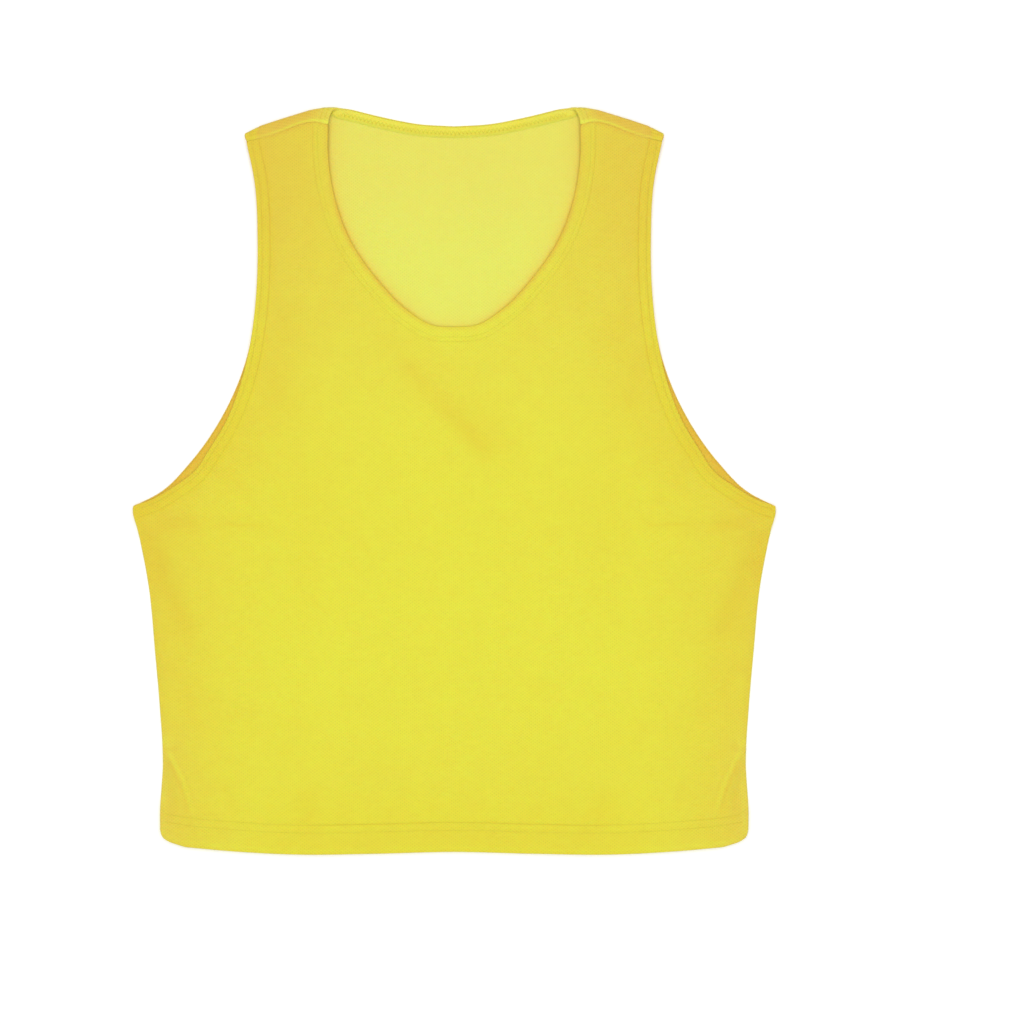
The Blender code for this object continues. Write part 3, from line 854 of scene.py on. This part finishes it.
def clothObject(name, surface, triangles, pattern, tone, materials, walls=None):
    # One layer of cloth; its middle surface gets its wall from a Solidify
    used, triangles = np.unique(triangles, return_inverse=True)
    values = {"paintedShadeAndMottle": tone[used, 0], "palenessAndShade": tone[used, 1]}
    flat = pattern[used] / metre + (0.5, 0)
    piece = addMesh(
        name, surface[used], triangles.reshape(-1, 3).tolist(), "clothPattern", flat, values, materials
    )
    shell = piece.modifiers.new("wall", "SOLIDIFY")
    shell.thickness = bib["wall"] / metre
    shell.offset = 0
    shell.use_quality_normals = True
    shell.material_offset = 1
    if walls is not None:
        group = piece.vertex_groups.new(name="wall")
        for i, share in enumerate(walls[used]):
            group.add([i], float(share), "REPLACE")
        shell.vertex_group = "wall"
    # The wall is made real, so that its cut edge can be shaded crisp
    graph = bpy.context.evaluated_depsgraph_get()
    evaluated = piece.evaluated_get(graph)
    solid = bpy.data.meshes.new_from_object(evaluated, preserve_all_data_layers=True, depsgraph=graph)
    piece.modifiers.clear()
    piece.vertex_groups.clear()
    piece.data = solid
    solid.set_sharp_from_angle(angle=math.radians(bib["crispEdge"]))
    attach(piece, "root")
    return piece


def turnedEdge(surfaceOf, ring, names, inward, origin, count):
    # Rows that turn the cloth's edge over, as new points and triangles, from its ring of points
    out, along = ringDirections(ring)
    place, outward, onward, normal = frames(surfaceOf, ring, out, along)
    seam = np.isin(names, ["side", "shoulder"])
    spacing = np.linalg.norm(np.roll(ring, -1, axis=0) - ring, axis=1)
    toSeam = np.where(seam, 0.0, 1e9)
    for _ in range(2):
        for i in range(len(ring)):
            toSeam[i] = min(toSeam[i], toSeam[i - 1] + spacing[i - 1])
        for i in reversed(range(len(ring))):
            j = (i + 1) % len(ring)
            toSeam[i] = min(toSeam[i], toSeam[j] + spacing[i])
    hemmed = after((0, bib["cornerEase"]), toSeam)
    bySide = ring[:, 1] < bib["sideSeamBelow"]
    seamHeight = (frontSurface(ring)[0][:, 2] + bib["solidWall"] / 2 - restDrop) / 2
    drop = np.where(bySide, np.abs(place[:, 2] - seamHeight), bib["seamDrop"] * seamShare(ring[:, 0]))
    drop = drop * (1 - hemmed) + turnRadius * hemmed
    seamAngle = np.where(bySide, math.pi / 2, math.radians(bib["seamTurn"]))
    angle = seamAngle * (1 - hemmed) + math.pi * hemmed
    atSide = np.column_stack([ring + out * turnRadius, seamHeight])
    rows, patterns = [], []
    steps = bib["edgeSteps"]
    last = place + outward * turnRadius * np.sin(angle)[:, None]
    last += inward * normal * (drop * (1 - np.cos(angle)))[:, None]
    target = np.where(bySide[:, None], atSide, last)
    for k in range(1, steps + 1):
        t = angle * k / steps
        row = place + outward * (turnRadius * np.sin(t))[:, None]
        row += inward * normal * (drop * (1 - np.cos(t)))[:, None]
        row += ((1 - hemmed) * (k / steps) ** 2)[:, None] * (target - last)
        rows.append(row)
        patterns.append(ring + out * (turnRadius * t)[:, None])
    n = len(ring)
    here, there = np.arange(n), (np.arange(n) + 1) % n
    triangles = []
    lower = origin
    for k in range(steps):
        upper = count + k * n + here
        a, b, c, d = lower[here], lower[there], upper[there], upper[here]
        triangles += [np.column_stack([a, c, b]), np.column_stack([a, d, c])]
        lower = upper
    return np.vstack(rows), np.vstack(patterns), np.vstack(triangles)


def makePanel(name, parts, surfaceOf, hems, inward, materials, overFold=False):
    ring, names = outwardRing(parts, inset)
    lines = [trimmed(line, ring, net["linesIn"]) for hem in hems for line in hem.lines]
    points, triangles, origin = cutCloth(ring, lines, overFold)
    surface, tone = surfaceOf(points)
    normals = normalsOf(surface, triangles)
    rows, patterns, rowTriangles = turnedEdge(surfaceOf, ring, names, inward, origin, len(points))
    pattern = np.vstack([points, patterns])
    # Painted shade that grows toward the fold of each turned edge
    added = np.array([turnShade[kind] for kind in names]) / toneRange
    added *= np.where(names == "shoulder", seamShare(ring[:, 0]), 1.0)
    steps = bib["edgeSteps"]
    edgeShade = [tone[origin] + np.outer(added * (k + 1) / steps, (1, 0)) for k in range(steps)]
    allTriangles = np.vstack([triangles, rowTriangles])
    panel = clothObject(
        name + "_cloth", np.vstack([surface, rows]), allTriangles, pattern,
        np.vstack([tone, *edgeShade]), materials["panel"],
    )
    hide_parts(name)
    made = [panel]
    centres = points[triangles].mean(axis=1)
    for hem in hems:
        depth = hem.sewn.depth
        toRaw = after((hem.sewn.rows[1] - bib["pressFrom"], depth), hem.distance(points))
        turned = surface + (inward * (bib["layer"] - bib["pressed"] * toRaw))[:, None] * normals
        piece = clothObject(
            hem.name + "_cloth",
            turned,
            triangles[hem.distance(centres) < depth],
            points + bib["hemShift"],
            tone + (hem.sewn.hemTone / toneRange, 0),
            materials["hem"],
            between(1, bib["rawWall"], toRaw),
        )
        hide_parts(hem.name)
        made.append(piece)
    print(name, "panel:", len(allTriangles), "triangles,", len(hems), "hems")
    return made


Hem = namedtuple("Hem", "name lines distance sewn")


def makeHem(name, edge, kind, distance):
    rows = [row + shift for row in hemRows[kind].rows for shift in (-grooveHalf, 0, grooveHalf)]
    lines = [denser(evenlySpaced(movedLeft(edge, row), cell)) for row in (*rows, hemRows[kind].depth)]
    return Hem(name, lines, distance, hemRows[kind])


def hemsFor(panel, armhole, neck, neckKind):
    rightHem = makeHem(panel + "_armhole_hem_right", armhole, "armhole", lambda at: distanceTo(armhole, at))
    leftHem = rightHem._replace(
        name=panel + "_armhole_hem_left",
        lines=[mirrored(line) for line in rightHem.lines],
        distance=lambda at: distanceTo(mirrored(armhole), at),
    )
    return [
        makeHem(panel + "_bottom_hem", bottomMiddle, "bottom", aboveBottom),
        makeHem(panel + "_neck_hem", neck, neckKind, lambda at: distanceTo(neck, at)),
        rightHem,
        leftHem,
    ]


# Colours, grain and mesh of the cloth

clothLook = {
    "bright": (0.727, 0.692, 0.047, 1),  # in the middle of the front
    "shadedWarm": (0.706, 0.501, 0.0445, 1),  # painted shade colour, in its troughs and toward its edges
    "singleBright": (0.724, 0.733, 0.114, 1),  # the back on its own, in the neck
    "singleShadedWarm": (0.765, 0.580, 0.096, 1),
    "hemBright": (0.780, 0.714, 0.077, 1),
    "hemShadedWarm": (0.725, 0.505, 0.047, 1),
    "holeShade": 0.075,  # how much darker the holes are
    "insideHoles": 0.5,  # the share of that on the inside and on the hems
    "holeSize": 0.00038,  # to where a hole's edge begins, in metres
    "holeEdge": 1.9,  # hole sizes from its middle, where its edge ends
    "columnsApart": 0.0015,  # of the holes
    "holesApart": 0.0022,
    "loopSize": 0.00055,
    "loopLean": 0.6,
    "loopMiddle": 0.4,
    "mottleScale": 260.0,
    "mottleDetail": 3.0,
    "mottledWarmth": 0.10,
    "mottledHoles": 2.4,
    "mottledRoughness": 0.12,
    "grainTone": 0.03,
    "grainRelief": 0.35,
    "bump": (0.4, 0.0002),
    "roughness": 0.72,
    "throughShare": 0.35,  # of the light in the cloth that spreads inside it
    "throughReach": 0.0016,
    "throughColour": (1.0, 0.55, 0.15),
    "specular": 0.18,
    "sheen": 0.08,
    "sheenRoughness": 0.5,
}


def fill(tree, node, sockets):
    # Each socket by its name or number takes a link or a fixed value
    for label, value in sockets.items():
        if isinstance(value, bpy.types.NodeSocket):
            tree.links.new(value, node.inputs[label])
        else:
            node.inputs[label].default_value = value


def addNode(tree, kind, sockets, **settings):
    node = tree.nodes.new("ShaderNode" + kind)
    for label, value in settings.items():
        setattr(node, label, value)
    fill(tree, node, sockets)
    return node


def maths(tree, operation, *values, clamp=False):
    node = addNode(tree, "Math", dict(enumerate(values)), operation=operation, use_clamp=clamp)
    return node.outputs[0]


def vectors(tree, operation, *values):
    node = addNode(tree, "VectorMath", dict(enumerate(values)), operation=operation)
    return node.outputs["Value" if operation == "LENGTH" else "Vector"]


def scaled(tree, colour, amount):
    return addNode(tree, "VectorMath", {0: colour, "Scale": amount}, operation="SCALE").outputs["Vector"]


def blended(tree, bright, shadedWarm, share, clamp):
    mix = addNode(tree, "Mix", {}, data_type="RGBA", clamp_factor=clamp)
    fill(tree, mix, {"A": bright, "B": shadedWarm, "Factor": share})
    return mix.outputs["Result"]


def bumped(tree, height, strength, depth):
    return addNode(tree, "Bump", {"Height": height, "Strength": strength, "Distance": depth}).outputs[0]


def pointValue(tree, label):
    return addNode(tree, "Attribute", {}, attribute_name=label).outputs["Fac"]


def newMaterial(name):
    material = bpy.data.materials.new(name)
    material.use_nodes = True
    return material, material.node_tree, material.node_tree.nodes["Principled BSDF"]


def nodeGroup(name, sizes, results):
    # A shader group that takes the cloth's pattern and some sizes, and gives values
    group = bpy.data.node_groups.new(name, "ShaderNodeTree")
    group.interface.new_socket("Pattern", in_out="INPUT", socket_type="NodeSocketVector")
    for label, size in sizes.items():
        socket = group.interface.new_socket(label, in_out="INPUT", socket_type="NodeSocketFloat")
        socket.default_value = size
    for label in results:
        group.interface.new_socket(label, in_out="OUTPUT", socket_type="NodeSocketFloat")
    return group, group.nodes.new("NodeGroupInput").outputs, group.nodes.new("NodeGroupOutput")


def meshHolesGroup():
    # Round holes in columns, each column half a step off the next
    look = clothLook
    sizes = {
        "Columns Apart": look["columnsApart"],
        "Holes Apart": look["holesApart"],
        "Hole Size": look["holeSize"],
    }
    group, given, result = nodeGroup("meshHoles", sizes, ("Hole", "Height"))
    across = maths(group, "MULTIPLY", given["Columns Apart"], 2.0)
    pair = addNode(group, "CombineXYZ", {"X": across, "Y": given["Holes Apart"], "Z": 1.0}).outputs[0]
    counted = vectors(group, "DIVIDE", given["Pattern"], pair)
    nearest = []
    for shift in ((0.0, 0.0, 0.0), (0.5, 0.5, 0.0)):
        place = vectors(group, "FRACTION", vectors(group, "ADD", counted, shift))
        offCentre = vectors(group, "MULTIPLY", vectors(group, "SUBTRACT", place, (0.5, 0.5, 0.0)), pair)
        nearest.append(vectors(group, "LENGTH", vectors(group, "MULTIPLY", offCentre, (1.0, 1.0, 0.0))))
    reach = maths(group, "DIVIDE", maths(group, "MINIMUM", *nearest), given["Hole Size"])
    hole = maths(group, "SUBTRACT", look["holeEdge"], reach, clamp=True)
    fill(group, result, {"Hole": hole, "Height": maths(group, "MULTIPLY", hole, -1.0)})
    return group


def knitGrainGroup():
    # Fine courses of loops with a little unevenness, for both tone and height
    look = clothLook
    results = "Tone", "Height", "Mottle"
    group, given, result = nodeGroup("knitGrain", {"Loop Size": look["loopSize"]}, results)
    flat = vectors(group, "MULTIPLY", given["Pattern"], (1.0, 1.0, 0.0))
    size = addNode(group, "CombineXYZ", dict.fromkeys("XYZ", given["Loop Size"])).outputs[0]
    split = addNode(group, "SeparateXYZ", {0: vectors(group, "DIVIDE", flat, size)}).outputs
    wale = maths(group, "ABSOLUTE", maths(group, "SINE", maths(group, "MULTIPLY", split["X"], math.pi)))
    lean = maths(group, "ADD", split["Y"], maths(group, "MULTIPLY", wale, look["loopLean"]))
    course = maths(group, "SINE", maths(group, "MULTIPLY", lean, 2 * math.pi))
    height = maths(group, "MULTIPLY", maths(group, "MULTIPLY_ADD", course, 0.5, 0.5), wale)
    texture = {"Vector": flat, "Scale": look["mottleScale"], "Detail": look["mottleDetail"]}
    mottle = addNode(group, "TexNoise", texture).outputs["Fac"]
    tone = maths(group, "SUBTRACT", height, look["loopMiddle"])
    fill(group, result, {"Tone": tone, "Height": height, "Mottle": maths(group, "SUBTRACT", mottle, 0.5)})
    return group


meshHoles, knitGrain = meshHolesGroup(), knitGrainGroup()


def clothMaterial(name, bright, shadedWarm, holes=1.0):
    look = clothLook
    material, tree, shader = newMaterial(name)
    pattern = addNode(tree, "UVMap", {}, uv_map="clothPattern").outputs["UV"]
    mesh = addNode(tree, "Group", {}, node_tree=meshHoles)
    grain = addNode(tree, "Group", {}, node_tree=knitGrain)
    for group in (mesh, grain):
        fill(tree, group, {"Pattern": pattern})
    mottle = grain.outputs["Mottle"]
    # Painted shade: each point's shade value mixes the bright colour toward its shaded warm copy
    paintedShadeAndMottle = maths(tree, "MULTIPLY_ADD", mottle, look["mottledWarmth"], pointValue(tree, "paintedShadeAndMottle"))
    white = addNode(tree, "CombineXYZ", {"Z": pointValue(tree, "palenessAndShade")}).outputs[0]
    colour = vectors(tree, "ADD", blended(tree, look[bright], look[shadedWarm], paintedShadeAndMottle, False), white)
    shade = maths(tree, "MULTIPLY", mesh.outputs["Hole"], look["holeShade"] * holes)
    shade = maths(tree, "MULTIPLY", shade, maths(tree, "MULTIPLY_ADD", mottle, look["mottledHoles"], 1.0))
    light = maths(tree, "SUBTRACT", 1.0, shade)
    light = maths(tree, "MULTIPLY_ADD", grain.outputs["Tone"], look["grainTone"], light)
    relief = maths(tree, "MULTIPLY_ADD", grain.outputs["Height"], look["grainRelief"], mesh.outputs["Height"])
    rough = maths(tree, "MULTIPLY_ADD", mottle, look["mottledRoughness"], look["roughness"])
    sockets = {
        "Base Color": scaled(tree, colour, light),
        "Roughness": rough,
        "Normal": bumped(tree, relief, *look["bump"]),
        "Subsurface Weight": look["throughShare"],
        "Subsurface Radius": look["throughColour"],
        "Subsurface Scale": look["throughReach"],
        "Specular IOR Level": look["specular"],
        "Sheen Weight": look["sheen"],
        "Sheen Roughness": look["sheenRoughness"],
    }
    fill(tree, shader, sockets)
    return material


meshCloth = clothMaterial("meshCloth", "bright", "shadedWarm")
meshInside = clothMaterial("meshClothInside", "singleBright", "singleShadedWarm", clothLook["insideHoles"])
turnedHem = clothMaterial("turnedHemCloth", "hemBright", "hemShadedWarm", clothLook["insideHoles"])


# The front and the back, each with its turned edges and hems

sideFine, bottomFine = smoothLine(sideEdge, cell), wholeBottom(cell)


def ringParts(armhole, shoulder, neck, neckName):
    rightParts = [("side", sideFine), ("armhole", armhole), ("shoulder", shoulder)]
    leftParts = [(name, mirrored(line)) for name, line in reversed(rightParts)]
    return [("bottom", bottomFine), *rightParts, (neckName, neck), *leftParts]


frontParts = ringParts(frontArmholeLine, seamLine, frontNeckLine, "neck")
frontMade = makePanel(
    "front_panel",
    frontParts,
    frontSurface,
    hemsFor("front", frontArmholeLine, frontNeckLine, "frontNeck"),
    -1,
    {"panel": [meshCloth, meshInside], "hem": [meshInside, turnedHem]},
)
backShoulder = np.column_stack([seamLine[:, 0], wrappedEnd(seamLine[:, 0])])
backParts = ringParts(denser(backArmholeLine), backShoulder, denser(backNeckLine), "backNeck")
backMade = makePanel(
    "back_panel",
    backParts,
    backSurface,
    hemsFor("back", backArmholeLine, backNeckLine, "backNeck"),
    1,
    {"panel": [meshInside, meshCloth], "hem": [turnedHem, meshInside]},
    overFold=True,
)
print("cloth made")


# Stitching: straight threads on the outside, and the thread that links them inside the back's neck

threads = {
    "stitch": 2.9,  # with the gap to the next
    "gap": 0.35,
    "first": 0.5,  # from the end of a row
    "spacing": 1.2,  # of a row's points
    "clear": 0.6,  # of the cloth's edge
    "radius": 0.17,
    "sides": 6,
    "shares": (0.0, 0.1, 0.32, 0.68, 0.9, 1.0),  # of the stitch's length, at its rings
    "rises": (-0.22, -0.02, 0.06, 0.06, -0.02, -0.22),  # of the rings over the cloth
    "lowest": -0.05,  # under the cloth, where a thread is pressed flat on the ground
    "widths": (0.7, 1.0, 1.0, 1.0, 1.0, 0.7),
    "linkStep": 1.45,  # of the linking thread, along the hem
    "linkTo": 84.0,  # across
    "linkSunk": 0.09,  # into the soft hem
    "bright": (0.735, 0.700, 0.055, 1),
    "shadedWarm": (0.715, 0.530, 0.045, 1),
    "turns": 5.0,  # of the twist, in a stitch
    "twistShade": 0.08,
    "shade": 0.96,
    "twistRoughness": 0.05,
    "roughness": 0.5,
    "bump": (0.5, 0.00008),
    "specular": 0.18,
}


def threadMaterial():
    t = threads
    material, tree, shader = newMaterial("thread")
    place = addNode(tree, "UVMap", {}, uv_map="threadPattern").outputs["UV"]
    split = addNode(tree, "SeparateXYZ", {0: place}).outputs
    turns = maths(tree, "MULTIPLY_ADD", split["X"], t["turns"], split["Y"])
    twist = maths(tree, "SINE", maths(tree, "MULTIPLY", turns, 2 * math.pi))
    # Painted shade: the thread takes the shade value of the cloth under it
    colour = blended(tree, t["bright"], t["shadedWarm"], pointValue(tree, "paintedShadeAndMottle"), True)
    light = maths(tree, "MULTIPLY_ADD", twist, t["twistShade"], t["shade"])
    sockets = {
        "Base Color": scaled(tree, colour, light),
        "Roughness": maths(tree, "MULTIPLY_ADD", twist, t["twistRoughness"], t["roughness"]),
        "Normal": bumped(tree, twist, *t["bump"]),
        "Specular IOR Level": t["specular"],
    }
    fill(tree, shader, sockets)
    return material


def stitchSpots(line):
    # The starts and the ends of a row's stitches
    along = lengthsAlong(line)
    starts = np.arange(threads["first"], along[-1] - threads["stitch"], threads["stitch"])
    ends = starts + threads["stitch"] - threads["gap"]
    return [np.column_stack([np.interp(at, along, line[:, k]) for k in range(2)]) for at in (starts, ends)]


def threadStitches(surfaceOf, starts, ends, level, side):
    # Rings of points round each stitch: stitches by rings by sides by 3
    shares = np.array(threads["shares"])
    flat = starts[:, None] + shares[None, :, None] * (ends - starts)[:, None]
    along = np.repeat(unit(ends - starts), len(shares), axis=0)
    out = np.column_stack([along[:, 1], -along[:, 0]])
    place, outward, onward, normal = frames(surfaceOf, flat.reshape(-1, 2), out, along)
    rise = np.tile(threads["rises"], len(starts)) + level
    middle = place + side * normal * rise[:, None]
    width = np.tile(threads["widths"], len(starts)) * threads["radius"]
    turn = np.arange(threads["sides"]) * 2 * math.pi / threads["sides"]
    cosine, sine = (share[None, :, None] for share in (np.cos(turn), np.sin(turn)))
    around = outward[:, None] * cosine + normal[:, None] * sine
    rings = middle[:, None] + around * width[:, None, None]
    rings[..., 2] = np.maximum(rings[..., 2], threads["lowest"])
    # The painted shade of the cloth at each stitch
    paintedShadeAndMottle = surfaceOf((starts + ends) / 2)[1][:, 0]
    return rings.reshape(len(starts), len(shares), threads["sides"], 3), paintedShadeAndMottle


def threadObject(name, sets):
    rings, paintedShadeAndMottle = (np.concatenate(parts) for parts in zip(*sets))
    count, perStitch, sides = rings.shape[:3]
    first = (np.arange(count) * perStitch * sides)[:, None]
    here = np.arange(sides)
    there = (here + 1) % sides
    faces = []
    for k in range(perStitch - 1):
        a, b = k * sides + here, k * sides + there
        quads = np.column_stack([a, b, b + sides, a + sides])
        faces += (first[:, :, None] + quads[None]).reshape(-1, 4).tolist()
    faces += (first + here[::-1]).tolist() + (first + (perStitch - 1) * sides + here).tolist()
    share = np.tile(np.repeat(threads["shares"], sides), count)
    pattern = np.column_stack([share, np.tile(here / sides, count * perStitch)])
    values = {"paintedShadeAndMottle": np.repeat(paintedShadeAndMottle, perStitch * sides)}
    piece = addMesh(name, rings.reshape(-1, 3), faces, "threadPattern", pattern, values, [thread])
    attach(piece, "root")
    return piece


def panelStitches(name, parts, surfaceOf, armhole, neck, neckKind, side):
    # Both rows of stitching at every edge of a panel
    ring = outwardRing(parts, inset)[0]
    rows = []
    for edge, kind in ((bottomMiddle, "bottom"), (neck, neckKind), (armhole, "armhole")):
        for row in hemRows[kind].rows:
            line = denser(evenlySpaced(movedLeft(edge, row), threads["spacing"]))
            line = trimmed(line, ring, threads["clear"])
            rows += [line, mirrored(line)] if kind == "armhole" else [line]
    sets = [threadStitches(surfaceOf, *stitchSpots(line), halfWall, side) for line in rows]
    return threadObject(name, sets)


thread = threadMaterial()
frontEdges = frontArmholeLine, frontNeckLine, "frontNeck"
backEdges = backArmholeLine, backNeckLine, "backNeck"
frontStitches = panelStitches("front_stitches", frontParts, frontSurface, *frontEdges, 1)
backStitches = panelStitches("back_stitches", backParts, backSurface, *backEdges, -1)


def linkingStitches():
    # One thread to and fro between the two rows, as far as the shoulder folds
    rows = hemRows["backNeck"].rows
    edges = [evenlySpaced(movedLeft(backNeckLine, row), threads["spacing"]) for row in rows]
    edges = [line[np.abs(line[:, 0]) < threads["linkTo"]] for line in edges]
    edges = [line[line[:, 1] < foldStart(line[:, 0]) - threads["first"]] for line in edges]
    count = int(lengthsAlong(edges[0])[-1] / threads["linkStep"])
    spots = [evenlySpaced(line, lengthsAlong(line)[-1] / count)[: count + 1] for line in edges]
    outbound = (np.arange(count) % 2 == 0)[:, None]
    starts = np.where(outbound, spots[0][:-1], spots[1][:-1])
    ends = np.where(outbound, spots[1][1:], spots[0][1:])
    height = bib["layer"] + halfWall - threads["linkSunk"]
    return threadStitches(backSurface, starts, ends, height, 1)


neckLink = threadObject("back_neck_linking_thread", [linkingStitches()])
print("stitches made")


# Floor, light and camera

studio = {
    "pictureWidth": 1024 * 0.000736,  # metres across the picture, at the cloth
    "middle": (0.0425, -0.0230),
    "lens": 85.0,
    "sensor": 36.0,
    "clothHeight": 0.003,
    "floorReach": 3.0,
    "floorDrop": 0.0002,
    "floorColour": (0.97, 0.97, 0.97, 1),
    "floorRoughness": 0.9,
    "floorSpecular": 0.1,
    "world": 0.570,
    "lampPower": 40.2,
    "lampSize": 2.4,
    "lampPlace": (0.0, 0.05, 2.2),
}
scene = bpy.context.scene
reach = studio["floorReach"]
corners = [(-reach, -reach, 0), (reach, -reach, 0), (reach, reach, 0), (-reach, reach, 0)]
floorMesh = bpy.data.meshes.new("floor")
floorMesh.from_pydata(corners, [], [(0, 1, 2, 3)])
floor = addObject("floor", floorMesh)
floor.location.z = -studio["floorDrop"]
paper, paperTree, paperShader = newMaterial("paleFloor")
paperLook = {
    "Base Color": studio["floorColour"],
    "Roughness": studio["floorRoughness"],
    "Specular IOR Level": studio["floorSpecular"],
}
fill(paperTree, paperShader, paperLook)
floorMesh.materials.append(paper)

world = bpy.data.worlds.new("studio")
world.use_nodes = True
sky = {"Color": (1, 1, 1, 1), "Strength": studio["world"]}
fill(world.node_tree, world.node_tree.nodes["Background"], sky)
scene.world = world
lamp = bpy.data.lights.new("softbox", "AREA")
lamp.shape, lamp.size, lamp.energy = "SQUARE", studio["lampSize"], studio["lampPower"]
softbox = addObject("softbox", lamp)
softbox.location = studio["lampPlace"]
softbox.rotation_euler = (-Vector(studio["lampPlace"])).to_track_quat("-Z", "Y").to_euler()

camera = bpy.data.cameras.new("camera")
camera.lens, camera.sensor_width = studio["lens"], studio["sensor"]
eye = addObject("camera", camera)
aboveCloth = studio["pictureWidth"] * studio["lens"] / studio["sensor"]
eye.location = (*studio["middle"], studio["clothHeight"] + aboveCloth)
scene.camera = eye
scene.view_settings.view_transform = "Standard"
print("studio set")
